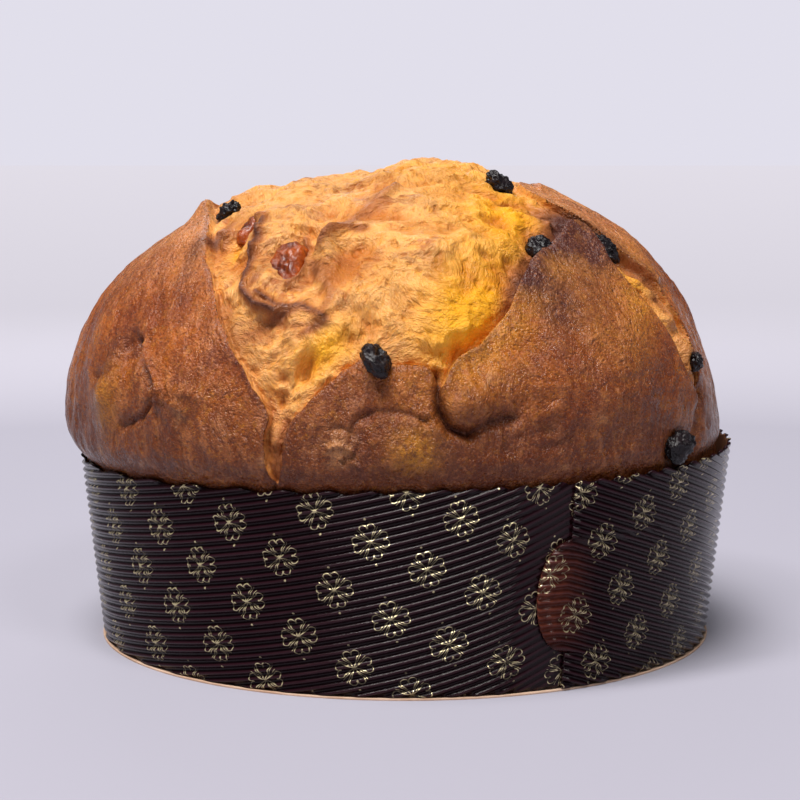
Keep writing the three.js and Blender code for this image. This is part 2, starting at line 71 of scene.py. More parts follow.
class Noise:
    """Smooth random field on a lattice, the same on every run."""

    def __init__(self, seed: int) -> None:
        """Fills the lattice.

        Args:
            seed: picks the field.
        """
        rng = np.random.default_rng(seed)
        self.order = rng.permutation(256)
        self.level = rng.uniform(-1.0, 1.0, 256)

    def at(self, points: Array, size: float) -> Array:
        """Reads the field.

        Args:
            points: places, one row of three numbers each.
            size: distance between neighbouring lattice points.

        Returns:
            One value from -1 to 1 for each place.
        """
        scaled = points / size
        cell = np.floor(scaled).astype(int)
        share = scaled - cell
        share = share * share * (3.0 - 2.0 * share)
        total = np.zeros(len(points))
        for corner in np.ndindex(2, 2, 2):
            x, y, z = (cell + corner).T & 255
            spot = self.order[(self.order[(self.order[x] + y) & 255] + z) & 255]
            weight = np.where(corner, share, 1.0 - share).prod(axis=1)
            total += self.level[spot] * weight
        return total

    def layered(self, points: Array, size: float, layers: int, gain: float = 0.5) -> Array:
        """Adds finer and weaker copies of the field to it.

        Args:
            points: places, one row of three numbers each.
            size: lattice distance of the coarsest layer.
            layers: how many layers, each half the size of the last.
            gain: strength of a layer against the one before.

        Returns:
            One value for each place, mostly from -1 to 1.
        """
        total = np.zeros(len(points))
        for layer in range(layers):
            total += gain**layer * self.at(points, size / 2**layer)
        return total

    def ridged(self, points: Array, size: float, layers: int, gain: float = 0.5) -> Array:
        """Adds layers that rise to sharp crests where the field passes zero.

        Args:
            points: places, one row of three numbers each.
            size: lattice distance of the coarsest layer.
            layers: how many layers, each half the size of the last.
            gain: strength of a layer against the one before.

        Returns:
            One value for each place, about from -1 to 1.
        """
        total = np.zeros(len(points))
        for layer in range(layers):
            crest = 1.0 - np.minimum(np.abs(self.at(points + layer * 31.7, size / 2**layer)) * 3.2, 2.0)
            total += gain**layer * crest
        return total / sum(gain**layer for layer in range(layers))

    def stirred(self, points: Array, size: float, reach: float) -> Array:
        """Moves places about, so that a pattern read there swirls.

        Args:
            points: places, one row of three numbers each.
            size: lattice distance of the moves.
            reach: how far the places move.

        Returns:
            The moved places.
        """
        moves = [self.at(points + shift, size) for shift in (11.3, 47.9, 83.1)]
        return points + reach * np.column_stack(moves)


def ease(low: float, high: float, value: Array) -> Array:
    """Smooth step.

    Args:
        low: where the step starts, at 0.
        high: where it ends, at 1.
        value: what is stepped.

    Returns:
        The stepped value, from 0 to 1.
    """
    share = np.clip((value - low) / (high - low), 0.0, 1.0)
    return share * share * (3.0 - 2.0 * share)


def on_map(longitude: float, polar: float) -> Place:
    """Map point of a place on the dome."""
    turn = math.radians(longitude)
    return polar * math.sin(turn), -polar * math.cos(turn)


def rounded_path(places: tuple[Place, ...], steps: int = 5) -> Array:
    """Closed smooth line through places on the dome.

    Args:
        places: longitude and polar angle of each.
        steps: points made for each place.

    Returns:
        Map points, one row each.
    """
    knots = np.array([on_map(*place) for place in places])
    before, after, beyond = (np.roll(knots, shift, axis=0) for shift in (1, -1, -2))
    points = []
    for step in range(steps):
        t = step / steps
        points.append(
            0.5
            * (
                2 * knots
                + (after - before) * t
                + (2 * before - 5 * knots + 4 * after - beyond) * t**2
                + (3 * knots - before - 3 * after + beyond) * t**3
            )
        )
    return np.stack(points, axis=1).reshape(-1, 2)


def nearest_on(path: Array, spots: Array, closed: bool) -> tuple[Array, Array, Array]:
    """Distance from map points to a line.

    Args:
        path: the line's points.
        spots: the map points, one row each.
        closed: whether the line's last point joins its first.

    Returns:
        The distances, the moves that would bring each point onto the line, and the direction to
        the left of the line where it is nearest.
    """
    best = np.full(len(spots), np.inf)
    move = np.zeros_like(spots)
    left = np.zeros_like(spots)
    ends = np.roll(path, -1, axis=0) if closed else path[1:]
    for start, end in zip(path, ends):
        way = end - start
        span = max(float(way @ way), 1e-9)
        share = np.clip((spots - start) @ way / span, 0.0, 1.0)
        gap = start + share[:, None] * way - spots
        distance = np.hypot(*gap.T)
        closer = distance < best
        best[closer] = distance[closer]
        move[closer] = gap[closer]
        left[closer] = np.array((-way[1], way[0])) / math.sqrt(span)
    return best, move, left


def inside(path: Array, spots: Array) -> Array:
    """Whether map points lie inside a closed line.

    Args:
        path: the line's points.
        spots: the map points, one row each.

    Returns:
        True or False for each point.
    """
    result = np.zeros(len(spots), bool)
    u, v = spots.T
    for (au, av), (bu, bv) in zip(path, np.roll(path, -1, axis=0)):
        if av == bv:
            continue
        crosses = (av > v) != (bv > v)
        result ^= crosses & (u < (bu - au) * (v - av) / (bv - av) + au)
    return result


# What shapes and tints the loaf


@dataclass(frozen=True)
class Spot:
    """An oval place on the dome, with an amount that fades out round it.

    The half sizes are in millimetres, and turn is in degrees on the map.
    """

    longitude: float
    polar: float
    half_along: float
    half_across: float
    turn: float
    amount: float

    def over(self, spots: Array) -> Array:
        """Amount that the spot gives to map points.

        Args:
            spots: the map points, one row each.

        Returns:
            The amount at each point.
        """
        du, dv = ((spots - on_map(self.longitude, self.polar)) * MM_PER_DEGREE).T
        c, s = math.cos(math.radians(self.turn)), math.sin(math.radians(self.turn))
        along = (du * c + dv * s) / self.half_along
        across = (dv * c - du * s) / self.half_across
        return self.amount * np.exp(-(along**2 + across**2))


def total_over(places: tuple[Spot, ...], spots: Array) -> Array:
    """Sum of the amounts that several places give to map points."""
    return sum(place.over(spots) for place in places)


@dataclass(frozen=True)
class Fold:
    """A ridge or groove along a line on the dome, with how dark its bottom or crest has baked.

    A power below 2 gives it a sharper crest.
    """

    path: tuple[Place, ...]
    width: float
    amount: float
    scorch: float = 0.0
    power: float = 2.0

    def share(self, spots: Array, widen: float = 1.0) -> Array:
        """Share of the fold at map points.

        Args:
            spots: the map points, one row each.
            widen: factor on the fold's width.

        Returns:
            1 on the fold's line, falling to 0 beside it.
        """
        line = np.array([on_map(*place) for place in self.path])
        away = nearest_on(line, spots, False)[0] * MM_PER_DEGREE
        return np.exp(-((away / (self.width * widen)) ** self.power))


TEAR: tuple[Place, ...] = (
    (-22, 86), (-21.5, 82.5), (-25, 78), (-30, 72), (-34, 67), (-38, 62), (-43, 57), (-50, 51),
    (-62, 45), (-80, 40), (-98, 37), (-112, 40), (-132, 36), (-148, 39), (-156, 50), (-162, 62),
    (-166, 50), (-174, 39), (160, 35), (130, 33), (105, 31), (84, 31), (66, 29), (53, 31),
    (50, 37), (51, 43), (54, 49), (57, 56), (61, 65), (63, 76), (60, 84), (56, 80), (52, 70),
    (47, 60), (46, 53), (44, 49), (37, 52), (30, 55.5), (23.5, 60.5), (20, 65), (14, 71), (8, 75),
    (5.5, 79), (3, 76.5), (-2, 76), (-7, 75), (-12, 79), (-16.5, 83.5), (-18, 87), (-18.2, 91),
    (-20, 95), (-21.5, 91),
)

# Height of the torn edge above the dome, on top of what it has all round.
LIP_PEAKS: tuple[Spot, ...] = (
    Spot(44, 49, 15, 15, 0, 3.6),
    Spot(25, 59.5, 14, 14, 0, 2.2),
    Spot(-45, 55, 12, 8, 50, 1.2),
    Spot(-62, 43.5, 9, 8, 0, 2.8),
    Spot(80, 31, 5, 5, 0, 3.6),
    Spot(5, 76, 10, 10, 0, 1.8),
    Spot(-150, 42, 14, 14, 0, 4.0),
    Spot(140, 33, 12, 12, 0, 2.0),
)

# Depth of the crumb beside the torn edge, on top of what it has all round.
MOATS: tuple[Spot, ...] = (
    Spot(19, 62, 24, 13, 62, 4.6),
    Spot(8, 73, 12, 8, 30, 3.0),
    Spot(51, 60, 10, 34, 0, 3.2),
    Spot(-43, 56, 9, 5, 55, 1.6),
    Spot(-5, 74, 7, 5, 0, 1.0),
    Spot(-20, 87, 6, 14, 0, 1.4),
    Spot(-160, 48, 14, 20, 0, 3.0),
)

# How far the torn edge leans out over the crumb, on top of what it has all round.
LEANS: tuple[Spot, ...] = (
    Spot(24, 60, 24, 12, 62, 1.9),
    Spot(44, 48, 12, 12, 0, 1.2),
    Spot(-3, 76, 16, 8, 0, 0.9),
    Spot(-160, 50, 14, 20, 0, 1.2),
)

# Swellings and hollows.
MOUNDS: tuple[Spot, ...] = (
    Spot(2, 56, 26, 20, 0, 4.5),
    Spot(10, 22, 26, 18, 0, 2.5),
    Spot(-88, 30, 40, 30, 0, -6.0),
    Spot(-90, 22, 30, 22, 0, -2.6),
    Spot(-47, 17.5, 13, 55, 0, -3.4),
    Spot(-62, 40, 11, 7, 0, 3.4),
    Spot(-52, 37.5, 7, 8, 0, -3.6),
    Spot(-24, 30, 7, 8, 0, -2.0),
    Spot(17, 18, 7, 8, 0, -2.4),
    Spot(-88, 56, 34, 40, 0, -1.8),
    Spot(85, 30, 20, 14, 0, -4.0),
    Spot(-88, 84, 40, 30, 0, 1.6),
    Spot(-22, 56, 9.5, 7.5, 66, -9.0),
    Spot(-39, 50.5, 6, 4, 60, -4.5),
    Spot(-38, 55, 6, 3, 80, -2.2),
    Spot(-14, 58, 6, 10, 20, 2.2),
    Spot(-19, 80, 8, 6, 30, -3.0),
    Spot(-16, 76, 6, 3.5, 40, -2.6),
    Spot(10, 80.5, 10, 6, 5, 3.8),
    Spot(20, 77, 16, 7, 15, 1.6),
    Spot(-1, 87, 14, 7, 5, 1.6),
    Spot(-10, 87.5, 6.5, 4.5, 0, 1.0),
    Spot(-51, 76, 6, 4, 130, -3.2),
    Spot(-53, 74, 3.6, 2.2, 10, -3.4),
    Spot(-55, 82, 10, 8, 0, 3.4),
    Spot(-36, 78, 14, 12, 0, 2.0),
    Spot(-30, 86, 16, 12, 0, 1.6),
    Spot(38, 76, 30, 20, 0, 2.5),
    Spot(26, 72, 4, 3, 0, 0.8),
    Spot(78, 76, 26, 30, 0, -4.0),
    Spot(62, 58, 6, 16, 0, 2.0),
    Spot(112, 70, 24, 20, 0, 1.5),
    Spot(170, 72, 30, 20, 0, 3.5),
    Spot(-135, 72, 26, 20, 0, 3.0),
    Spot(150, 80, 7, 8, 30, -4.0),
)

# Ridges and grooves, such as the swirl, the pillow's edge and the pinch on the left.
FOLDS: tuple[Fold, ...] = (
    Fold(((-18.5, 84), (-19.5, 89), (-20.5, 94), (-21, 99)), 2.4, -2.6, 0.5, 1.6),
    Fold(((61, 82), (57, 90), (56, 98)), 4.0, -5.0, 0.5),
    Fold(((-160, 58), (-162, 70), (-165, 98)), 3.6, -5.0, 0.4),
    Fold(((-112, 38), (-114, 50), (-120, 62)), 3.4, -4.0, 0.4),
    Fold(((-34.5, 48), (-33, 52), (-31.5, 59), (-29.5, 63.5), (-26, 66), (-22, 67)), 1.5, 3.4, 0.9, 1.3),
    Fold(((-26, 64), (-22, 66), (-17, 66), (-13, 68)), 1.2, 1.6, 0.8, 1.3),
    Fold(((-25, 68.5), (-20, 69.5), (-15, 69)), 1.2, -1.0, 0.4, 1.4),
    Fold(((-22.5, 51), (-20.5, 54.5), (-19.5, 57.5), (-20, 60), (-21.5, 62)), 1.5, 3.0, 0.5, 1.4),
    Fold(((-14, 51), (-17, 54.5), (-18.5, 58.5), (-19, 62)), 3.0, 1.6, 0.2),
    Fold(((-4, 34), (-10, 41), (-14, 48), (-17, 52)), 3.0, 2.0, 0.4),
    Fold(((-17, 54), (-13, 50), (-9, 50)), 2.0, 1.4, 0.6, 1.4),
    Fold(((-16, 58), (-13, 64), (-14, 68)), 2.4, 1.0, 0.4),
    Fold(((-42, 54), (-41, 50), (-38, 47), (-35, 47)), 1.5, 2.4, 0.5, 1.4),
    Fold(((4.5, 77), (5, 82), (6.5, 84.5), (9.5, 85.5), (13, 83.5), (17, 83)), 1.7, -4.0, 0.85, 1.5),
    Fold(((-8, 86.5), (-8, 84.5), (-7, 83), (-4.5, 82), (-1, 82), (3, 83.5)), 1.1, -1.5, 0.4, 1.4),
    Fold(((-51.5, 72), (-49, 74), (-45.5, 77.5), (-43, 80), (-42.5, 81)), 1.7, -3.8, 0.85, 1.4),
    Fold(((-42.5, 81), (-43.5, 82.5), (-45.5, 85), (-48.5, 86), (-51, 87)), 1.3, -2.6, 0.7, 1.4),
    Fold(((-47, 74), (-43.5, 77.5), (-41, 80), (-41.5, 82.5)), 1.4, 2.2, 0.0, 1.5),
    Fold(((-61, 80), (-58, 79.5), (-54.5, 78.5)), 1.4, -1.8, 0.7, 1.4),
    Fold(((20, 30), (30, 38), (38, 44)), 3.4, -2.4, 0.2),
    Fold(((-140, 55), (-135, 66), (-128, 74)), 3.0, -2.6, 0.6),
    Fold(((118, 50), (124, 62), (122, 74)), 3.0, -2.6, 0.6),
)

# Fine creases that run out from the pinch and along the flaps.
CREASES: tuple[Fold, ...] = (
    Fold(((-42, 80.4), (-38, 80.4), (-33, 80.6)), 0.7, 1.5, 0.0, 1.4),
    Fold(((-42, 81), (-38.5, 82), (-35, 83.5)), 0.7, 1.4, 0.0, 1.4),
    Fold(((-42.5, 81.4), (-40, 83.5), (-37.5, 86)), 0.7, 1.2, 0.0, 1.4),
    Fold(((-41.5, 79.6), (-37, 79)), 0.6, 1.0, 0.0, 1.4),
    Fold(((-47, 75), (-46, 71), (-47, 66)), 1.3, -1.2, 0.3),
    Fold(((-13.5, 85), (-9.5, 84.5), (-6.5, 86.5), (-8, 89), (-12, 90.5)), 0.8, -1.0, 0.3, 1.4),
    Fold(((-12.5, 88), (-10, 87), (-7.5, 88)), 0.5, 1.0, 0.0, 1.4),
    Fold(((-12, 90), (-9.5, 89), (-7, 90)), 0.5, 0.9, 0.0, 1.4),
    Fold(((13, 85), (17.5, 86), (23.5, 85)), 0.9, -1.0, 0.3, 1.4),
    Fold(((14.5, 82), (19.5, 83), (24.5, 82.5)), 0.9, 0.9, 0.0, 1.4),
    Fold(((11, 90), (16, 90), (21, 89)), 0.8, 0.7, 0.0, 1.4),
    Fold(((15, 87.5), (21, 88), (27, 87)), 0.9, -0.8, 0.3, 1.4),
    Fold(((11, 79), (12.5, 77.5), (14, 76.5)), 0.9, 0.9),
)

# Where the crumb is full of holes, like sponge.
SPONGE: tuple[Spot, ...] = (Spot(-30, 72, 14, 26, 30, 1.0),)

# Places with the finest mesh.
DETAILS: tuple[Spot, ...] = (
    Spot(-47, 80, 13, 15, 0, 1.0),
    Spot(0, 85, 34, 11, 0, 1.0),
    Spot(-27, 58, 17, 19, 30, 1.0),
)

# Where crust and crumb have baked dark.
SCORCH: tuple[Spot, ...] = (
    Spot(47, 47, 14, 13, 0, 0.95),
    Spot(40, 53, 14, 7, 35, 0.6),
    Spot(58, 60, 30, 6, -33, 0.5),
    Spot(34, 61, 24, 18, 0, 0.5),
    Spot(44, 54, 14, 13, 0, 0.55),
    Spot(27, 66, 9, 10, 0, 0.65),
    Spot(24.5, 61, 5, 5, 0, 0.4),
    Spot(-62, 40, 12, 5, 0, 0.3),
    Spot(24, 60, 22, 5, 62, 0.55),
    Spot(-46, 54, 14, 4, 50, 0.8),
    Spot(-31, 70, 7, 26, 28, 0.35),
    # Partly real browning and partly painted shade, darkening the narrow crack below the front flap.
    Spot(-19.5, 91, 5, 11, 0, 0.6),
    Spot(-21, 67.5, 11, 2.6, 5, 0.75),
    Spot(-15, 69.5, 8, 1.8, 8, 0.6),
    Spot(-28, 62, 6, 2.5, 60, 0.5),
    Spot(-23, 56.5, 8, 6, 66, 0.5),
    Spot(-39, 49.5, 5, 4, 60, 0.35),
    Spot(-17, 59, 3, 6, 20, 0.6),
    Spot(-13, 48, 4, 5, 30, 0.5),
    Spot(-62, 91, 60, 8, 0, 0.25),
    Spot(40, 78, 30, 20, 0, 0.3),
    Spot(60, 84, 16, 16, 0, 0.4),
    Spot(76, 38, 12, 6, 0, 0.4),
    Spot(-66, 66, 24, 14, 40, 0.25),
    Spot(-56, 75, 6, 4, 0, 0.45),
    Spot(-38, 86, 20, 6, 0, 0.3),
    Spot(-8, 79, 14, 4, 0, 0.35),
    Spot(6, 88, 8, 6, 0, 0.35),
    Spot(-150, 46, 16, 10, 0, 0.6),
    Spot(120, 60, 30, 20, 0, 0.35),
    Spot(180, 70, 30, 20, 0, 0.3),
)

# Where the crumb is yellow and the crust thin and amber.
GLOW: tuple[Spot, ...] = (
    Spot(1.5, 88, 10, 6, 0, 1.0),
    Spot(-55, 83, 10, 8, 0, 0.6),
    Spot(12, 66, 26, 16, 50, 1.2),
    Spot(-13, 73, 12, 6, 20, 1.0),
    Spot(-38, 55, 6, 3, 80, 0.8),
    Spot(32, 46, 24, 24, 0, 1.4),
    Spot(20, 20, 26, 22, 0, 0.4),
    Spot(51, 62, 9, 30, 0, 0.7),
    Spot(34, 70, 16, 8, 0, 0.3),
    Spot(150, 30, 26, 20, 0, 0.6),
    Spot(-160, 30, 20, 16, 0, 0.5),
)

# Pale blisters.
PALE: tuple[Spot, ...] = (
    Spot(-58, 92, 2.0, 1.8, 0, 0.8),
    Spot(-46, 93, 1.6, 1.3, 0, 0.6),
    Spot(-36, 84, 2.6, 2.0, 0, 0.7),
    Spot(-22, 90, 1.8, 1.5, 0, 0.5),
    Spot(-10, 87.5, 6.5, 5.0, 0, 0.75),
    Spot(32, 84, 1.8, 1.4, 0, 0.6),
    Spot(25, 92, 2.2, 1.3, 0, 0.6),
    Spot(12.5, 77.5, 3.0, 0.9, 62, 0.8),
    Spot(100, 86, 2.2, 1.8, 0, 0.7),
    Spot(140, 88, 2.6, 1.8, 0, 0.6),
    Spot(-120, 88, 2.2, 2.0, 0, 0.7),
)


# Node trees


class NodeSheet:
    """A node tree that is being filled in."""

    def __init__(self, tree: bpy.types.NodeTree) -> None:
        """Keeps the tree."""
        self.tree = tree

    def feed(self, socket: bpy.types.NodeSocket, value: object) -> None:
        """Links a socket to another, or sets its value."""
        if isinstance(value, bpy.types.NodeSocket):
            self.tree.links.new(value, socket)
        else:
            socket.default_value = value

    def feed_all(self, node: bpy.types.Node, inputs: dict[str, object]) -> None:
        """Feeds a node's inputs by name."""
        for name, value in inputs.items():
            self.feed(node.inputs[name], value)

    def node(
        self, kind: str, inputs: dict[str, object] | None = None, **settings: object
    ) -> bpy.types.Node:
        """Adds a node.

        Args:
            kind: the node's type name.
            inputs: values or sockets by the name of the input they feed.
            settings: the node's own settings.

        Returns:
            The node.
        """
        made = self.tree.nodes.new(kind)
        for name, value in settings.items():
            setattr(made, name, value)
        self.feed_all(made, inputs or {})
        return made

    def math(self, operation: str, *values: object, clamp: bool = False) -> bpy.types.NodeSocket:
        """Adds a Math node.

        Args:
            operation: what it does.
            values: its inputs in order.
            clamp: whether the result is kept from 0 to 1.

        Returns:
            Its result.
        """
        made = self.node("ShaderNodeMath", operation=operation, use_clamp=clamp)
        for socket, value in zip(made.inputs, values):
            self.feed(socket, value)
        return made.outputs[0]

    def step(self, value: object, low: float, high: float) -> bpy.types.NodeSocket:
        """Smooth step of a value from 0 at low to 1 at high."""
        inputs = {"Value": value, "From Min": low, "From Max": high}
        made = self.node("ShaderNodeMapRange", inputs, interpolation_type="SMOOTHSTEP")
        return made.outputs["Result"]

    def part(self, value: object, low: float, high: float, share: object) -> bpy.types.NodeSocket:
        """Smooth step of a value from 0 at low to a share at high."""
        return self.math("MULTIPLY", self.step(value, low, high), share)

    def ramp(self, value: object, slope: float, start: float) -> bpy.types.NodeSocket:
        """A value times a slope, added to a start."""
        return self.math("MULTIPLY_ADD", value, slope, start)

    def total(self, *parts: tuple[object, float]) -> bpy.types.NodeSocket:
        """Sum of values, each times its weight."""
        result = self.math("MULTIPLY", *parts[0])
        for value, weight in parts[1:]:
            result = self.math("MULTIPLY_ADD", value, weight, result)
        return result

    def mix(self, factor: object, one: object, other: object) -> bpy.types.NodeSocket:
        """Mixes two colours.

        Args:
            factor: share of the second colour.
            one: the first colour.
            other: the second colour.

        Returns:
            The mixed colour.
        """
        made = self.node("ShaderNodeMix", data_type="RGBA")
        made.clamp_factor = True
        for index, value in ((0, factor), (6, one), (7, other)):
            if isinstance(value, tuple) and len(value) == 3:
                value = (*value, 1.0)
            self.feed(made.inputs[index], value)
        return made.outputs[2]

    def tinted(self, colour: object, *layers: tuple[object, Colour]) -> bpy.types.NodeSocket:
        """Lays colours over one another.

        Args:
            colour: the lowest colour.
            layers: the share and the colour of each layer over it, in order.

        Returns:
            The colour that shows.
        """
        for share, tint in layers:
            colour = self.mix(share, colour, tint)
        return colour

    def noise(
        self, place: object, scale: object, detail: float = 3.0, rough: float = 0.55
    ) -> bpy.types.NodeSocket:
        """Fractal noise.

        Args:
            place: where it is read.
            scale: how fine it is.
            detail: layers.
            rough: strength of the finer layers.

        Returns:
            A value from 0 to 1.
        """
        inputs = {"Vector": place, "Scale": scale, "Detail": detail, "Roughness": rough}
        return self.node("ShaderNodeTexNoise", inputs).outputs["Fac"]

    def stretched(self, place: object, turn: Triple, scale: Triple) -> bpy.types.NodeSocket:
        """Turns and scales a place, so that a pattern read there has a grain."""
        angles = tuple(math.radians(part) for part in turn)
        inputs = {"Vector": place, "Rotation": angles, "Scale": scale}
        return self.node("ShaderNodeMapping", inputs).outputs["Vector"]

    def stirred(self, place: object, scale: float, reach: float) -> bpy.types.NodeSocket:
        """Moves a place about, so that a pattern read there swirls.

        Args:
            place: the place.
            scale: how fine the moves are.
            reach: how far the place moves, in metres.

        Returns:
            The moved place.
        """
        inputs = {"Vector": place, "Scale": scale, "Detail": 1.0}
        cloud = self.node("ShaderNodeTexNoise", inputs).outputs["Color"]
        centred = self.node("ShaderNodeVectorMath", operation="SUBTRACT")
        self.feed(centred.inputs[0], cloud)
        centred.inputs[1].default_value = (0.5, 0.5, 0.5)
        moved = self.node("ShaderNodeVectorMath", {"Scale": 2 * reach}, operation="SCALE")
        self.feed(moved.inputs[0], centred.outputs[0])
        total = self.node("ShaderNodeVectorMath", operation="ADD")
        self.feed(total.inputs[0], place)
        self.feed(total.inputs[1], moved.outputs[0])
        return total.outputs[0]

    def read(self, name: str) -> bpy.types.NodeSocket:
        """Value of a vertex attribute."""
        return self.node("ShaderNodeAttribute", attribute_name=name).outputs["Fac"]

    def bump(self, height: object, depth: float, normal: object = None) -> bpy.types.NodeSocket:
        """Bump of a depth in millimetres.

        Args:
            height: value from 0 to 1.
            depth: what a height of 1 stands for.
            normal: a normal that the bump is added to.

        Returns:
            The bumped normal.
        """
        inputs = {"Height": height, "Distance": depth * MM}
        if normal is not None:
            inputs["Normal"] = normal
        return self.node("ShaderNodeBump", inputs).outputs["Normal"]


class EffectGroups:
    """Shader node groups that more than one finish uses, each built once."""

    def __init__(self) -> None:
        """Builds the groups."""
        self.mottle = self._mottle()
        self.fibre = self._fibre()
        self.flower = self._flower()

    @staticmethod
    def _begin(name: str, inputs: dict[str, str], output: str) -> tuple[bpy.types.NodeTree, NodeSheet]:
        """Starts a group.

        Args:
            name: the group's name.
            inputs: socket types by name.
            output: name of the one value that it puts out.

        Returns:
            The group, and its sheet.
        """
        group = bpy.data.node_groups.new(name, "ShaderNodeTree")
        for socket, kind in inputs.items():
            group.interface.new_socket(socket, in_out="INPUT", socket_type=kind)
        group.interface.new_socket(output, in_out="OUTPUT", socket_type="NodeSocketFloat")
        return group, NodeSheet(group)

    def _mottle(self) -> bpy.types.NodeTree:
        """Uneven patches with finer flecks in them, from 0 to 1."""
        inputs = {"Place": "NodeSocketVector", "Scale": "NodeSocketFloat", "Flecks": "NodeSocketFloat"}
        group, sheet = self._begin("mottle", inputs, "Value")
        given = sheet.node("NodeGroupInput").outputs
        broad = sheet.noise(given["Place"], given["Scale"], 4.0, 0.6)
        fine_scale = sheet.math("MULTIPLY", given["Scale"], 7.0)
        fine = sheet.noise(given["Place"], fine_scale, 3.0, 0.65)
        spread = sheet.math("MULTIPLY", sheet.math("SUBTRACT", fine, 0.5), given["Flecks"])
        value = sheet.math("ADD", sheet.step(broad, 0.28, 0.72), spread, clamp=True)
        sheet.node("NodeGroupOutput", {"Value": value})
        return group

    def _fibre(self) -> bpy.types.NodeTree:
        """Strands that run along X of the place, from 0 between them to 1 on them."""
        inputs = {"Place": "NodeSocketVector", "Scale": "NodeSocketFloat", "Stretch": "NodeSocketFloat"}
        group, sheet = self._begin("fibre", inputs, "Height")
        given = sheet.node("NodeGroupInput").outputs
        apart = sheet.node("ShaderNodeSeparateXYZ", {"Vector": given["Place"]}).outputs
        wander = sheet.noise(given["Place"], sheet.math("MULTIPLY", given["Scale"], 0.3), 2.0)
        along = sheet.math("DIVIDE", apart["X"], given["Stretch"])
        across = sheet.math("ADD", apart["Y"], sheet.math("MULTIPLY", wander, 0.006))
        joined = {"X": along, "Y": across, "Z": apart["Z"]}
        place = sheet.node("ShaderNodeCombineXYZ", joined).outputs["Vector"]
        strands = sheet.noise(place, given["Scale"], 4.0, 0.6)
        ridge = sheet.math("SUBTRACT", 1.0, sheet.math("ABSOLUTE", sheet.math("SUBTRACT", strands, 0.5)))
        value = sheet.step(ridge, 0.72, 1.0)
        sheet.node("NodeGroupOutput", {"Height": value})
        return group

    def _flower(self) -> bpy.types.NodeTree:
        """Outline of a small flower of four heart-shaped petals, with a dot above and below.

        U and V are millimetres from its middle.
        """
        inputs = {"U": "NodeSocketFloat", "V": "NodeSocketFloat"}
        group, sheet = self._begin("flower", inputs, "Mask")
        given = sheet.node("NodeGroupInput").outputs
        wide = sheet.math("ABSOLUTE", given["U"])
        tall = sheet.math("ABSOLUTE", given["V"])
        out = sheet.math("MAXIMUM", wide, tall)
        side = sheet.math("MINIMUM", wide, tall)
        lobe = self._ring(sheet, out, side, (4.3, 1.2), 1.15)
        flank = sheet.math("MULTIPLY_ADD", out, -0.46, sheet.math("MULTIPLY", side, 0.89))
        heart = sheet.math("MAXIMUM", flank, sheet.math("SUBTRACT", out, 4.3))
        petal = sheet.math("ABSOLUTE", sheet.math("MINIMUM", lobe, heart))
        lines = [sheet.step(petal, 0.22, 0.08)]
        for middle, radius in (((4.2, 0.0), 0.26), ((0.0, 0.0), 0.45)):
            lines.append(sheet.step(self._ring(sheet, out, side, middle, radius), 0.14, -0.06))
        lines.append(sheet.step(self._ring(sheet, tall, wide, (7.1, 0.0), 0.3), 0.14, -0.06))
        diagonal = sheet.math("MULTIPLY", sheet.math("ADD", out, side), math.sqrt(0.5))
        across = sheet.math("MULTIPLY", sheet.math("SUBTRACT", out, side), math.sqrt(0.5))
        fanned = sheet.math("ABSOLUTE", sheet.math("MULTIPLY_ADD", diagonal, -0.13, across))
        thin = sheet.step(fanned, 0.15, 0.06)
        reach = sheet.math("MULTIPLY", sheet.step(diagonal, 1.6, 2.0), sheet.step(diagonal, 5.3, 5.0))
        lines.append(sheet.math("MULTIPLY", thin, reach))
        mask = lines[0]
        for line in lines[1:]:
            mask = sheet.math("MAXIMUM", mask, line)
        sheet.node("NodeGroupOutput", {"Mask": mask})
        return group

    @staticmethod
    def _ring(
        sheet: NodeSheet, x: object, y: object, middle: Place, radius: float
    ) -> bpy.types.NodeSocket:
        """Distance from a circle.

        Args:
            sheet: where the nodes go.
            x: first coordinate of the place.
            y: second coordinate of the place.
            middle: the circle's middle.
            radius: its radius.

        Returns:
            The distance outside the circle, negative inside it.
        """
        dx = sheet.math("SUBTRACT", x, middle[0])
        dy = sheet.math("SUBTRACT", y, middle[1])
        squares = sheet.math("ADD", sheet.math("MULTIPLY", dx, dx), sheet.math("MULTIPLY", dy, dy))
        return sheet.math("SUBTRACT", sheet.math("SQRT", squares), radius)


class Pattern(Enum):
    """Where a finish reads its pattern."""

    OBJECT = "Object"
    STRIP = "strip"
    DOME = "dome"


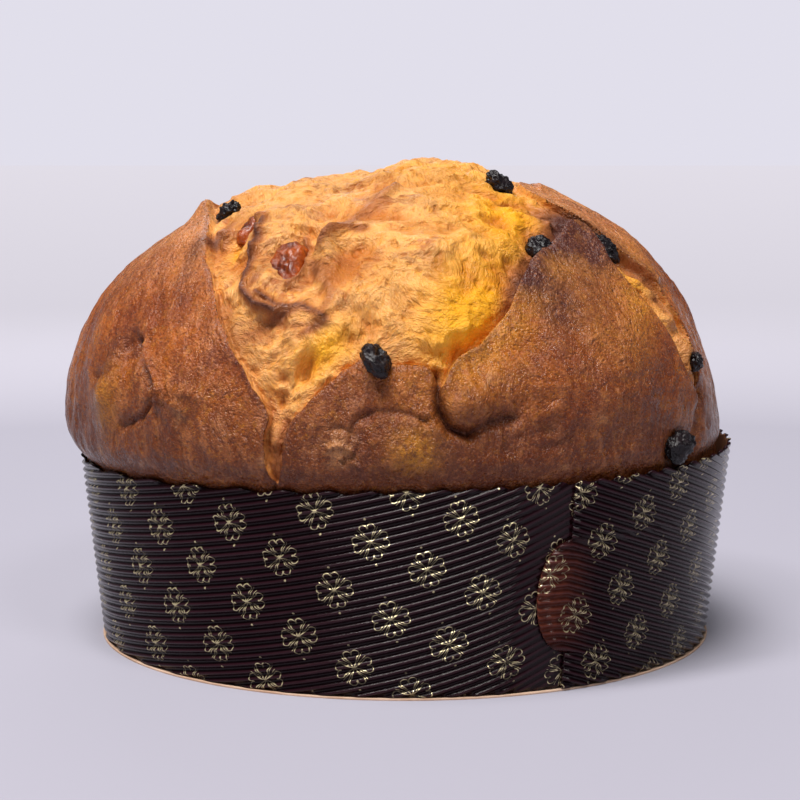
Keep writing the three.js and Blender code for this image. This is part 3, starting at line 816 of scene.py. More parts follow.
@dataclass(frozen=True)
class Finish:
    """What every finish has: a name and the groups it may use."""

    groups: EffectGroups
    name: str = "plain"

    def begin(self) -> tuple[bpy.types.Material, NodeSheet, bpy.types.Node]:
        """Starts a material.

        Returns:
            The material, its sheet, and its Principled BSDF.
        """
        material = bpy.data.materials.new(self.name)
        material.use_nodes = True
        sheet = NodeSheet(material.node_tree)
        shader = next(node for node in material.node_tree.nodes if node.type == "BSDF_PRINCIPLED")
        return material, sheet, shader

    @staticmethod
    def place(sheet: NodeSheet, pattern: Pattern) -> bpy.types.NodeSocket:
        """Coordinates of a pattern.

        Args:
            sheet: where the nodes go.
            pattern: which coordinates.

        Returns:
            The coordinates, in metres.
        """
        if pattern is Pattern.OBJECT:
            return sheet.node("ShaderNodeTexCoord").outputs["Object"]
        return sheet.node("ShaderNodeUVMap", uv_map=pattern.value).outputs["UV"]

    def mottled(self, sheet: NodeSheet, place: object, scale: float, flecks: float) -> bpy.types.NodeSocket:
        """Value of the mottle group at a place."""
        inputs = {"Place": place, "Scale": scale, "Flecks": flecks}
        return sheet.node("ShaderNodeGroup", inputs, node_tree=self.groups.mottle).outputs["Value"]

    def strands(
        self, sheet: NodeSheet, place: object, scale: float, stretch: float
    ) -> bpy.types.NodeSocket:
        """Height of the fibre group at a place."""
        inputs = {"Place": place, "Scale": scale, "Stretch": stretch}
        return sheet.node("ShaderNodeGroup", inputs, node_tree=self.groups.fibre).outputs["Height"]


@dataclass(frozen=True)
class BreadFinish(Finish):
    """Browned crust, and golden crumb where it has torn.

    The colours are linear. Low, high and top are heights over the table, in metres, between which
    the crust turns from dark to pale, as painted shade below high and a painted highlight above it.
    The depths are those of the bumps, in millimetres.
    """

    name: str = "bread"
    crust_light: Colour = (0.62, 0.165, 0.02)
    crust_dark: Colour = (0.27, 0.052, 0.007)
    crust_purple: Colour = (0.2, 0.055, 0.03)
    # Painted shade: darkens the crust low down.
    crust_low_shade: Colour = (0.09, 0.017, 0.003)
    # Painted highlight: pales the crust towards the top.
    crust_top_highlight: Colour = (0.85, 0.37, 0.15)
    # Painted shade in the hollows of the crust's wrinkles and in its fine flecks.
    crease_shade: Colour = (0.075, 0.017, 0.008)
    # Painted highlight: glints on the wrinkles' crests and in the fine flecks.
    painted_glint: Colour = (0.78, 0.3, 0.11)
    scorched: Colour = (0.105, 0.033, 0.023)
    amber: Colour = (0.75, 0.3, 0.026)
    blister: Colour = (0.58, 0.26, 0.1)
    crumb_light: Colour = (0.9, 0.39, 0.085)
    # Painted highlight on the tops of the crumb's tufts.
    crumb_highlight: Colour = (0.95, 0.55, 0.21)
    crumb_toasted: Colour = (0.45, 0.15, 0.038)
    crumb_yellow: Colour = (1.0, 0.44, 0.014)
    # Painted shade in the crumb's hollows and between its tufts.
    crumb_hollow_shade: Colour = (0.5, 0.12, 0.006)
    low: float = 0.066
    high: float = 0.11
    top: float = 0.145
    crust_depth: float = 3.4
    crumb_depth: float = 1.6

    def material(self) -> bpy.types.Material:
        """Builds the material.

        Returns:
            The material.
        """
        material, sheet, shader = self.begin()
        place = self.place(sheet, Pattern.OBJECT)
        scorch, glow = sheet.read("scorch"), sheet.read("glow")
        ragged = sheet.ramp(sheet.noise(place, 700.0), 1.2, -0.6)
        torn = sheet.step(sheet.math("ADD", sheet.read("tear"), ragged), 0.0, 0.5)
        kept = sheet.math("SUBTRACT", 1.0, torn)
        grain = self._crust_height(sheet, place)
        crust = self._crust_colour(sheet, place, grain, scorch, glow)
        tufts = self._crumb_height(sheet, place)
        crumb = self._crumb_colour(sheet, place, tufts, scorch, glow)
        gloss = sheet.step(sheet.noise(place, 260.0, 3.0), 0.35, 0.65)
        rough = sheet.math("MULTIPLY_ADD", torn, 0.14, sheet.ramp(gloss, 0.24, 0.14), clamp=True)
        skin = sheet.bump(sheet.math("MULTIPLY", grain, kept), self.crust_depth)
        shreds = sheet.bump(sheet.math("MULTIPLY", tufts, torn), self.crumb_depth, skin)
        inputs = {
            "Base Color": sheet.mix(torn, crust, crumb),
            "Roughness": rough,
            "Normal": shreds,
            "Specular IOR Level": 0.33,
            "Subsurface Weight": 0.1,
            "Subsurface Radius": (1.0, 0.4, 0.1),
            "Subsurface Scale": 2.0 * MM,
        }
        sheet.feed_all(shader, inputs)
        return material

    def _crust_colour(
        self, sheet: NodeSheet, place: object, grain: object, scorch: object, glow: object
    ) -> bpy.types.NodeSocket:
        """Colour of the crust, with painted shade low down and in its creases, and painted highlights on
        top and on its wrinkles.

        Args:
            sheet: where the nodes go.
            place: object coordinates.
            grain: height of the crust's fine relief.
            scorch: how dark the crust has baked.
            glow: how thin and amber it is.

        Returns:
            The colour.
        """
        broad = self.mottled(sheet, place, 38.0, 1.0)
        patch = self.mottled(sheet, sheet.stirred(place, 60.0, 0.006), 120.0, 1.0)
        speckle = self.mottled(sheet, place, 480.0, 1.3)
        specks = sheet.noise(place, 1300.0, 2.0)
        # Fine flecks, not in the bump, that take painted shade and painted glints.
        fleck_shade_and_glint = sheet.noise(place, 1000.0, 3.0, 0.7)
        height = sheet.node("ShaderNodeSeparateXYZ", {"Vector": place}).outputs["Z"]
        low_shade = sheet.part(height, self.high, self.low, 0.7)
        burnt = sheet.math("MULTIPLY", scorch, sheet.ramp(patch, -0.5, 1.2), clamp=True)
        return sheet.tinted(
            sheet.mix(broad, self.crust_dark, self.crust_light),
            (sheet.math("MULTIPLY", patch, 0.65), self.crust_purple),
            # Painted shade low down.
            (low_shade, self.crust_low_shade),
            # Painted highlight towards the top.
            (sheet.part(height, self.high, self.top, sheet.ramp(broad, 0.5, 0.32)), self.crust_top_highlight),
            (sheet.part(speckle, 0.7, 1.0, sheet.ramp(broad, 0.3, 0.1)), self.amber),
            (sheet.part(specks, 0.6, 0.68, sheet.math("MULTIPLY", broad, 0.4)), self.amber),
            # Painted highlight on the wrinkles' crests.
            (sheet.part(grain, 0.53, 0.66, sheet.ramp(broad, 0.4, 0.1)), self.painted_glint),
            (sheet.part(speckle, -0.3, 0.7, glow), self.amber),
            (burnt, self.scorched),
            # Painted shade in the wrinkles' hollows.
            (sheet.part(grain, 0.48, 0.34, 0.7), self.crease_shade),
            # Fine flecks of painted shade, then of painted glint.
            (sheet.part(fleck_shade_and_glint, 0.48, 0.34, 0.55), self.crease_shade),
            (sheet.part(fleck_shade_and_glint, 0.54, 0.68, 0.32), self.painted_glint),
            # More painted shade low down.
            (sheet.math("MULTIPLY", low_shade, 0.5), self.crust_low_shade),
            (sheet.part(speckle, 0.0, 0.5, sheet.read("pale")), self.blister),
        )

    def _crumb_colour(
        self, sheet: NodeSheet, place: object, tufts: object, scorch: object, glow: object
    ) -> bpy.types.NodeSocket:
        """Colour of the crumb, with painted highlights on its tufts and painted shade in its hollows.

        Args:
            sheet: where the nodes go.
            place: object coordinates.
            tufts: height of the crumb's fine relief.
            scorch: how dark the crumb has baked.
            glow: how yellow it is.

        Returns:
            The colour.
        """
        broad = self.mottled(sheet, sheet.stirred(place, 40.0, 0.01), 70.0, 1.1)
        toasted = sheet.noise(place, 330.0, 4.0, 0.65)
        # Painted shade in the crumb's hollows, from the crest value and the tufts.
        hollow = sheet.ramp(sheet.read("crest"), -0.8, 0.8)
        deep = sheet.math("MAXIMUM", hollow, sheet.part(tufts, 0.5, 0.18, 0.8))
        return sheet.tinted(
            sheet.mix(sheet.step(broad, 0.1, 0.6), self.crumb_toasted, self.crumb_light),
            (sheet.part(toasted, 0.5, 0.72, 0.6), self.crumb_toasted),
            # Painted highlight on the tufts' tops.
            (sheet.part(tufts, 0.58, 0.85, 0.45), self.crumb_highlight),
            (glow, self.crumb_yellow),
            # Painted shade in the hollows.
            (deep, self.crumb_hollow_shade),
            (sheet.step(scorch, 0.0, 0.5), self.crumb_toasted),
            (sheet.step(scorch, 0.3, 1.0), self.scorched),
        )

    def _crumb_height(self, sheet: NodeSheet, place: object) -> bpy.types.NodeSocket:
        """Height of the crumb's strands and pores.

        Args:
            sheet: where the nodes go.
            place: object coordinates.

        Returns:
            The height, from 0 to 1.
        """
        swirled = sheet.stirred(place, 45.0, 0.012)
        grain = sheet.stretched(swirled, (0, 0, 40), (1, 1, 1))
        strands = self.strands(sheet, grain, 380.0, 1.3)
        pulled = sheet.noise(sheet.stretched(swirled, (20, 0, 40), (0.7, 1.0, 1.0)), 210.0, 3.0, 0.6)
        shreds = sheet.math("FRACT", sheet.math("MULTIPLY", pulled, 8.0))
        cells = sheet.node("ShaderNodeTexVoronoi", {"Vector": swirled, "Scale": 280.0}).outputs["Distance"]
        pores = sheet.step(cells, 0.05, 0.5)
        fine = sheet.noise(swirled, 1300.0, 3.0, 0.6)
        return sheet.total((pores, 0.36), (strands, 0.12), (shreds, 0.16), (fine, 0.42))

    def _crust_height(self, sheet: NodeSheet, place: object) -> bpy.types.NodeSocket:
        """Height of the crust's fine wrinkles, pores and grain.

        Args:
            sheet: where the nodes go.
            place: object coordinates.

        Returns:
            The height, from 0 to 1.
        """
        swirled = sheet.stirred(place, 50.0, 0.008)
        wrinkles = sheet.noise(sheet.stretched(swirled, (0, 0, 0), (1.0, 1.0, 0.45)), 340.0, 3.0, 0.55)
        puckers = sheet.noise(sheet.stretched(swirled, (0, 25, 0), (1.0, 1.0, 0.5)), 140.0, 2.0, 0.5)
        cells = sheet.node("ShaderNodeTexVoronoi", {"Vector": swirled, "Scale": 420.0}).outputs["Distance"]
        pores = sheet.step(cells, 0.0, 0.35)
        grain = sheet.noise(place, 1500.0, 2.0, 0.6)
        return sheet.total((pores, 0.08), (wrinkles, 0.45), (puckers, 0.32), (grain, 0.17))


@dataclass(frozen=True)
class PaperFinish(Finish):
    """Dark greaseproof paper with small gold flowers printed on the flutes, and painted highlights on their
    crests.
    """

    name: str = "case_paper"
    valley: Colour = (0.0085, 0.0016, 0.003)
    # Painted highlight: the crest colour stands for the light that the flutes' crests catch.
    crest: Colour = (0.028, 0.008, 0.0125)
    worn: Colour = (0.14, 0.034, 0.019)
    gold: Colour = (0.62, 0.53, 0.31)
    flower_apart: float = 28.4
    row_apart: float = 12.2

    def material(self) -> bpy.types.Material:
        """Builds the material.

        Returns:
            The material.
        """
        material, sheet, shader = self.begin()
        place = self.place(sheet, Pattern.OBJECT)
        strip = self.place(sheet, Pattern.STRIP)
        crest = sheet.read("crest")
        cloud = self.mottled(sheet, place, 60.0, 0.5)
        # Painted highlight on the flutes' crests, over the darker paper of the valleys.
        lit = sheet.part(crest, 0.3, 0.95, sheet.ramp(cloud, 0.4, 0.6))
        colour = sheet.mix(lit, self.valley, self.crest)
        rubbed = sheet.math("MULTIPLY", sheet.read("worn"), sheet.noise(place, 500.0), clamp=True)
        colour = sheet.mix(sheet.math("MULTIPLY", rubbed, 1.5, clamp=True), colour, self.worn)
        patchy = sheet.step(sheet.noise(place, 900.0, 2.0), 0.28, 0.5)
        # Painted shade on the print: it fades to a quarter in the flutes' valleys; the patchy part is real
        # wear.
        print_lit_share = sheet.ramp(sheet.step(crest, 0.1, 0.6), 0.75, 0.25)
        print_worn_and_shaded = sheet.math("MULTIPLY", sheet.math("MULTIPLY", self._print(sheet, strip), print_lit_share), patchy)
        inputs = {
            "Base Color": sheet.mix(print_worn_and_shaded, colour, self.gold),
            "Metallic": sheet.math("MULTIPLY", print_worn_and_shaded, 0.4),
            "Roughness": sheet.ramp(cloud, 0.1, 0.16),
            "Specular IOR Level": 0.17,
            "Normal": sheet.bump(sheet.noise(place, 1400.0), 0.08),
        }
        sheet.feed_all(shader, inputs)
        return material

    def _print(self, sheet: NodeSheet, strip: object) -> bpy.types.NodeSocket:
        """Mask of all the flowers: rows set half a flower apart.

        Args:
            sheet: where the nodes go.
            strip: coordinates on the strip, in metres.

        Returns:
            1 on a printed line, 0 beside it.
        """
        apart = sheet.node("ShaderNodeSeparateXYZ", {"Vector": strip}).outputs
        half_u, half_v = self.flower_apart / 2, self.row_apart
        masks = []
        for row in (0, 1):
            along = sheet.math("MULTIPLY_ADD", apart["X"], 1 / MM, -row * half_u)
            across = sheet.math("MULTIPLY_ADD", apart["Y"], 1 / MM, -row * half_v)
            u = sheet.math("WRAP", along, half_u, -half_u)
            v = sheet.math("WRAP", across, half_v, -half_v)
            flower = sheet.node("ShaderNodeGroup", {"U": u, "V": v}, node_tree=self.groups.flower)
            masks.append(flower.outputs["Mask"])
        return sheet.math("MAXIMUM", *masks)


@dataclass(frozen=True)
class LiningFinish(Finish):
    """Smooth inside of the case and the card of its base, browned in the oven."""

    name: str = "lining"
    light: Colour = (0.36, 0.15, 0.055)
    dark: Colour = (0.17, 0.052, 0.022)
    roughness: float = 0.62

    def material(self) -> bpy.types.Material:
        """Builds the material.

        Returns:
            The material.
        """
        material, sheet, shader = self.begin()
        place = self.place(sheet, Pattern.OBJECT)
        stains = self.mottled(sheet, place, 70.0, 0.6)
        fibres = self.strands(sheet, place, 900.0, 3.0)
        colour = sheet.mix(stains, self.dark, self.light)
        colour = sheet.mix(sheet.math("MULTIPLY", fibres, 0.15), colour, self.light)
        normal = sheet.bump(fibres, 0.05)
        inputs = {"Base Color": colour, "Normal": normal, "Roughness": self.roughness}
        sheet.feed_all(shader, inputs)
        return material


@dataclass(frozen=True)
class CardFinish(LiningFinish):
    """Plain card of the base."""

    name: str = "base_card"
    light: Colour = (0.78, 0.55, 0.4)
    dark: Colour = (0.5, 0.3, 0.19)
    roughness: float = 0.7


@dataclass(frozen=True)
class RaisinFinish(Finish):
    """Dark puckered skin with a soft gloss."""

    name: str = "raisin"
    deep: Colour = (0.003, 0.0025, 0.0035)
    high: Colour = (0.016, 0.009, 0.011)

    def material(self) -> bpy.types.Material:
        """Builds the material.

        Returns:
            The material.
        """
        material, sheet, shader = self.begin()
        place = self.place(sheet, Pattern.OBJECT)
        bloom = self.mottled(sheet, place, 240.0, 0.8)
        pucker = sheet.noise(place, 1100.0, 4.0, 0.6)
        inputs = {
            "Base Color": sheet.mix(bloom, self.deep, self.high),
            "Roughness": sheet.ramp(bloom, 0.2, 0.2),
            "Normal": sheet.bump(pucker, 0.4),
            "Specular IOR Level": 0.26,
            "Coat Weight": 0.15,
            "Coat Roughness": 0.15,
        }
        sheet.feed_all(shader, inputs)
        return material


@dataclass(frozen=True)
class PeelFinish(Finish):
    """Candied orange peel, glossy and half clear."""

    name: str = "candied_peel"
    light: Colour = (0.46, 0.085, 0.004)
    dark: Colour = (0.08, 0.008, 0.001)

    def material(self) -> bpy.types.Material:
        """Builds the material.

        Returns:
            The material.
        """
        material, sheet, shader = self.begin()
        place = self.place(sheet, Pattern.OBJECT)
        depth = self.mottled(sheet, place, 150.0, 0.9)
        pits = sheet.noise(place, 700.0, 4.0, 0.65)
        inputs = {
            "Base Color": sheet.mix(depth, self.dark, self.light),
            "Normal": sheet.bump(pits, 0.6),
            "Roughness": sheet.ramp(pits, 0.2, 0.1),
            "Subsurface Weight": 0.2,
            "Subsurface Radius": (1.0, 0.25, 0.04),
            "Subsurface Scale": 3.0 * MM,
            "Coat Weight": 0.25,
            "Coat Roughness": 0.1,
        }
        sheet.feed_all(shader, inputs)
        return material


@dataclass(frozen=True)
class StudioFinish(Finish):
    """Plain pale sheet that the case stands on, darker near the case and as pale as the backdrop far off: a
    painted gradient of light.
    """

    name: str = "studio_sheet"
    near: Colour = (0.41, 0.4, 0.475)
    far: Colour = (0.75, 0.735, 0.825)
    near_distance: float = 0.55

    def material(self) -> bpy.types.Material:
        """Builds the material.

        Returns:
            The material.
        """
        material, sheet, shader = self.begin()
        place = self.place(sheet, Pattern.OBJECT)
        # Painted light: the sheet's colour turns paler with distance from the middle.
        away = sheet.node("ShaderNodeVectorMath", operation="LENGTH")
        sheet.feed(away.inputs[0], place)
        closeness = sheet.math("DIVIDE", self.near_distance, away.outputs["Value"])
        share = sheet.math("SUBTRACT", 1.0, closeness, clamp=True)
        sheet.feed_all(shader, {"Base Color": sheet.mix(share, self.near, self.far), "Roughness": 0.8})
        return material


# Mesh helpers


def start_piece() -> None:
    """Leaves edit mode and deselects everything, so that the next operator acts on new work alone."""
    if bpy.context.object and bpy.context.object.mode != "OBJECT":
        bpy.ops.object.mode_set(mode="OBJECT")
    bpy.ops.object.select_all(action="DESELECT")


def points_of(piece: bpy.types.Object) -> Array:
    """Vertex places of a mesh, one row each."""
    flat = np.empty(len(piece.data.vertices) * 3)
    piece.data.vertices.foreach_get("co", flat)
    return flat.reshape(-1, 3)


def set_points(piece: bpy.types.Object, points: Array) -> None:
    """Moves the vertices of a mesh."""
    piece.data.vertices.foreach_set("co", points.ravel())
    piece.data.update()


def store(piece: bpy.types.Object, name: str, values: Array) -> None:
    """Keeps one value for each vertex as an attribute."""
    layer = piece.data.attributes.new(name, "FLOAT", "POINT")
    layer.data.foreach_set("value", values.astype(np.float32))


def store_map(piece: bpy.types.Object, name: str, coordinates: Array) -> None:
    """Makes a UV map from one pair of coordinates for each vertex."""
    corners = np.empty(len(piece.data.loops), int)
    piece.data.loops.foreach_get("vertex_index", corners)
    layer = piece.data.uv_layers.new(name=name, do_init=False)
    layer.data.foreach_set("uv", coordinates[corners].astype(np.float32).ravel())


def select(piece: bpy.types.Object, kind: str, chosen: Array) -> None:
    """Selects parts of a mesh in object mode, and nothing else.

    Args:
        piece: the mesh.
        kind: vertices or polygons.
        chosen: whether each of them is selected.
    """
    for name in ("vertices", "edges", "polygons"):
        parts = getattr(piece.data, name)
        parts.foreach_set("select", chosen if name == kind else np.zeros(len(parts), bool))


def face_middles(piece: bpy.types.Object) -> Array:
    """Middle of each face, one row each."""
    flat = np.empty(len(piece.data.polygons) * 3)
    piece.data.polygons.foreach_get("center", flat)
    return flat.reshape(-1, 3)


def edit(mode: str) -> None:
    """Enters edit mode with one kind of part selectable: VERT, EDGE or FACE."""
    bpy.ops.object.mode_set(mode="EDIT")
    bpy.ops.mesh.select_mode(type=mode)


def edit_all(mode: str) -> None:
    """Enters edit mode with everything selected."""
    edit(mode)
    bpy.ops.mesh.select_all(action="SELECT")


def finish_edit(piece: bpy.types.Object) -> None:
    """Turns the faces outwards, leaves edit mode and smooths the shading."""
    bpy.ops.mesh.select_all(action="SELECT")
    bpy.ops.mesh.normals_make_consistent(inside=False)
    bpy.ops.object.mode_set(mode="OBJECT")
    bpy.ops.object.shade_smooth()


def apply_modifiers(piece: bpy.types.Object) -> None:
    """Applies every modifier of the active piece, in order."""
    for name in [modifier.name for modifier in piece.modifiers]:
        bpy.ops.object.modifier_apply(modifier=name)


def hand_over(
    piece: bpy.types.Object, slot: str, nodes: tuple[str, ...], *finishes: bpy.types.Material
) -> None:
    """Gives a piece its finishes, fixes it to its body, hides the frame's nodes that it stands for, and
    reports it.

    Args:
        piece: the finished piece.
        slot: the record's slot of its finish; not used.
        nodes: the frame's nodes that it stands for.
        finishes: its materials, in order.
    """
    for material in finishes:
        piece.data.materials.append(material)
    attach(piece, BODY)
    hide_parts(*nodes)
    LOG.info("%s: %d faces, for %s", piece.name, len(piece.data.polygons), ", ".join(nodes))


@dataclass(frozen=True)
class Seat:
    """Where a node of the frame lies: its middle, its own axes as columns, and its half sizes."""

    middle: Array
    axes: Array
    half: Array

    @classmethod
    def of(cls, node: str) -> "Seat":
        """Measures a node, longest axis first.

        Args:
            node: the node's name.

        Returns:
            Its seat, in millimetres.
        """
        points = np.array([vertex.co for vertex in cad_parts[node].data.vertices]) / MM
        points = np.unique(points.round(3), axis=0)
        middle = (points.min(axis=0) + points.max(axis=0)) / 2
        _, axes = np.linalg.eigh(np.cov((points - middle).T))
        axes = axes[:, ::-1]
        if np.linalg.det(axes) < 0:
            axes[:, 2] *= -1
        along = (points - middle) @ axes
        low, high = along.min(axis=0), along.max(axis=0)
        return cls(middle + axes @ ((low + high) / 2), axes, (high - low) / 2)

    def matrix(self) -> Matrix:
        """Matrix that brings a piece from the origin to the seat, in metres."""
        turned = Matrix(self.axes.tolist()).to_4x4()
        return Matrix.Translation(Vector(self.middle * MM)) @ turned


# Loaf


@dataclass
class Loaf:
    """The loaf: crust, crumb and the part that stands in the case."""

    middle: float = DOME_MIDDLE
    rise: float = 84.5
    half_width: float = 108.0
    forward: float = 1.5
    leftward: float = 3.0
    roundness: float = 2.17
    polar_at_rim: float = 96.0
    rim_height: float = 62.0
    rim_tilt: float = 2.3
    rim_radius: float = 106.6
    base_radius: float = 99.7
    floor: float = 0.9
    cells: int = 186
    lip_height: float = 1.3
    lip_width: float = 8.0
    lip_wall: float = 1.7
    moat: float = 2.4
    moat_width: float = 9.0
    lean: float = 0.9
    lean_width: float = 3.2
    ragged: float = 0.8
    seats: list[Seat] = field(default_factory=list)

    def case_radius(self, height: float) -> float:
        """Inside radius of the case at a height."""
        return self.base_radius + (self.rim_radius - self.base_radius) * height / self.rim_height

    def envelope(self, spots: Array) -> Array:
        """Smooth dome, rolled in to the rim beyond 90 degrees.

        Args:
            spots: map points, one row each.

        Returns:
            Places in millimetres, one row each.
        """
        polar = np.hypot(*spots.T)
        longitude = np.arctan2(spots[:, 0], -spots[:, 1])
        sine = np.sin(longitude)
        widest = self.half_width + self.forward * np.cos(longitude) - self.leftward * sine
        power = self.roundness - 0.1 * sine
        across = np.sin(np.radians(np.minimum(polar, 90)))
        up = np.cos(np.radians(np.minimum(polar, 90)))
        reach = ((across / widest) ** power + (up / self.rise) ** power) ** (-1 / power)
        roll = np.clip((polar - 90) / (self.polar_at_rim - 90), 0, None)
        seat_radius = np.minimum(self.rim_radius - 0.7, widest - 2)
        seat_height = self.rim_height + self.rim_tilt * sine + 0.5
        rolled = widest - (widest - seat_radius) * roll**2
        lowered = self.middle - (self.middle - seat_height) * roll
        radius = np.where(roll > 0, rolled, reach * across)
        height = np.where(roll > 0, lowered, self.middle + reach * up)
        return np.column_stack((radius * sine, -radius * np.cos(longitude), height))

    def relief(self, spots: Array, tear: Array, base: Array) -> tuple[Array, Array]:
        """Height over the smooth dome.

        Args:
            spots: map points, one row each.
            tear: distance into the crumb in millimetres, negative on the crust.
            base: the places on the smooth dome.

        Returns:
            The height at each point in millimetres, and the part of it that is torn tufts.
        """
        edge = np.abs(tear)
        peak = self.lip_height + total_over(LIP_PEAKS, spots)
        depth = self.moat + total_over(MOATS, spots)
        lip = peak * np.exp(-edge / self.lip_width) - 0.5 * ease(-1.4, 0.0, tear)
        below = ease(0.0, self.lip_wall, tear)
        tufts = self._tufts(spots, tear, base)
        height = lip * (1 - below) - below * depth * np.exp(-edge / self.moat_width) + tufts
        height += total_over(MOUNDS, spots)
        uneven = 0.85 + 0.6 * Noise(17).layered(base, 7.0, 2)
        for fold in (*FOLDS, *CREASES):
            height += fold.amount * fold.share(spots) * uneven
        return height + ease(0.5, -2.0, tear) * self._wrinkles(spots, base), tufts

    @staticmethod
    def _tufts(spots: Array, tear: Array, base: Array) -> Array:
        """Relief of the torn crumb.

        Args:
            spots: map points, one row each.
            tear: distance into the crumb.
            base: the places on the smooth dome.

        Returns:
            The height at each point, in millimetres.
        """
        x, y = (spots * MM_PER_DEGREE / CRAG_SIZE).T
        broad = np.sin(x * 2.1 + np.sin(y * 1.7)) + np.sin(y * 2.6 + 1.3 * np.sin(x * 1.9 + 0.6))
        turn = math.radians(40)
        c, s = math.cos(turn), math.sin(turn)
        grain = np.array(((c, s, 0), (-s, c, 0), (0, 0, 1)))
        swirled = Noise(21).stirred(base, 24.0, 6.0)
        pulled = (swirled @ grain.T) * (0.7, 1.0, 0.9)
        shreds = Noise(11).ridged(pulled, 8.0, 3, 0.65)
        lumps = Noise(12).layered(swirled, 6.0, 2)
        pits = np.minimum(Noise(13).layered(base, 5.0, 2) + 0.25, 0.0)
        sponge = np.clip(total_over(SPONGE, spots), 0, 1)
        fine = 1.5 * shreds + 0.9 * lumps + 3.6 * sponge * pits
        return ease(0, 10, tear) * broad * 0.9 + ease(0.4, 4, tear) * fine

    @staticmethod
    def _wrinkles(spots: Array, base: Array) -> Array:
        """Relief of the crust: broad dents, flowing wrinkles and fine ones.

        Args:
            spots: map points, one row each.
            base: the places on the smooth dome.

        Returns:
            The height at each point, in millimetres.
        """
        stirred = Noise(22).stirred(base, 30.0, 5.0)
        dents = Noise(5).layered(base, 24.0, 2)
        upright = Noise(8).ridged(stirred * (1.0, 1.0, 0.3), 4.6, 2)
        level = Noise(9).ridged(stirred * (0.3, 0.6, 1.0), 4.6, 2)
        right = ease(-10, 25, spots[:, 0])
        knobs = Noise(10).layered(base, 6.0, 2)
        calm = 0.45 + 0.55 * ease(-0.2, 0.35, Noise(15).layered(base, 30.0, 2))
        return 0.9 * dents + calm * (0.5 * (upright * (1 - right) + level * right) + 0.3 * knobs)

    def build(self) -> bpy.types.Object:
        """Models the loaf.

        Returns:
            The finished mesh, in metres.
        """
        start_piece()
        bpy.ops.mesh.primitive_grid_add(x_subdivisions=self.cells, y_subdivisions=self.cells, size=2)
        loaf = bpy.context.object
        loaf.name = "torn_loaf"
        square = points_of(loaf)[:, :2]
        disc = self.polar_at_rim * square * np.sqrt(1 - square[:, ::-1] ** 2 / 2)
        set_points(loaf, np.column_stack((disc, np.zeros(len(disc)))))
        outline = rounded_path(TEAR)
        self._refine(loaf, outline)
        spots = self._snap(loaf, outline)
        self._raise(loaf, spots, outline)
        self._fill_case(loaf)
        set_points(loaf, points_of(loaf) * MM)
        return loaf

    def _refine(self, loaf: bpy.types.Object, outline: Array) -> None:
        """Subdivides the crumb, and the faces next to the tear and in the finest places twice."""
        for low, high in ((-3.6, 500.0), (-2.2, 2.8)):
            middles = face_middles(loaf)[:, :2]
            away = nearest_on(outline, middles, True)[0] * MM_PER_DEGREE
            depth = away * np.where(inside(outline, middles), 1, -1)
            fine = total_over(DETAILS, middles) > FINE_SHARE
            select(loaf, "polygons", ((depth > low) & (depth < high)) | fine)
            edit("FACE")
            bpy.ops.mesh.subdivide(number_cuts=1)
            bpy.ops.object.mode_set(mode="OBJECT")

    def _snap(self, loaf: bpy.types.Object, outline: Array) -> Array:
        """Moves the vertices beside the tear onto it, so that no edge crosses it.

        Args:
            loaf: the flat map.
            outline: the tear.

        Returns:
            The map points.
        """
        spots = points_of(loaf)[:, :2]
        distance, move, _ = nearest_on(outline, spots, True)
        within = inside(outline, spots)
        cell = 2 * self.polar_at_rim / self.cells / 4
        free = np.hypot(*spots.T) < self.polar_at_rim - 1
        onto = (distance < 0.3 * cell) & free
        edges = np.empty(len(loaf.data.edges) * 2, int)
        loaf.data.edges.foreach_get("vertices", edges)
        for one, other in edges.reshape(-1, 2):
            if within[one] != within[other] and not onto[one] and not onto[other]:
                nearer = one if distance[one] < distance[other] else other
                onto[nearer] = free[nearer] and distance[nearer] < 2 * cell
        spots[onto] += move[onto]
        set_points(loaf, np.column_stack((spots, np.zeros(len(spots)))))
        return spots

    def _raise(self, loaf: bpy.types.Object, spots: Array, outline: Array) -> None:
        """Lifts the flat map into the dome, and stores what the finish reads.

        Args:
            loaf: the flat map.
            spots: its map points.
            outline: the tear.
        """
        distance, _, left = nearest_on(outline, spots, True)
        u, v = outline.T
        turn = np.sign(np.sum(u * np.roll(v, -1) - v * np.roll(u, -1)))
        inward = left * turn
        tear = distance * MM_PER_DEGREE * np.where(inside(outline, spots), 1, -1)
        base = self.envelope(spots)
        tear += self.ragged * Noise(31).layered(base, 5.0, 2) * np.exp(-np.abs(tear) / 3)
        outward = base - (0, 0, self.middle)
        outward /= np.linalg.norm(outward, axis=1)[:, None]
        height, tufts = self.relief(spots, tear, base)
        kept = 1 - ease(88, self.polar_at_rim, np.hypot(*spots.T))
        height = np.where(height > 0, height * kept, height * (0.5 + 0.5 * kept))
        ahead = self.envelope(spots + 0.3 * inward) - base
        ahead /= np.maximum(np.linalg.norm(ahead, axis=1), 1e-6)[:, None]
        lean = self.lean + total_over(LEANS, spots)
        lean *= (1 - 1.5 * ease(0.0, self.lip_wall, tear)) * np.exp(-((tear / self.lean_width) ** 2)) * kept
        points = base + outward * height[:, None] + ahead * lean[:, None]
        for seat in self.seats:
            points = self._press(points, outward, seat)
        set_points(loaf, points)
        scorch = total_over(SCORCH, spots)
        for fold in (*FOLDS, *CREASES):
            scorch = np.maximum(scorch, fold.scorch * fold.share(spots, 1.25))
        edge_line = np.exp(-(((tear + 0.7) / 0.9) ** 2)) * 0.45
        dug = height - total_over(MOUNDS, spots)
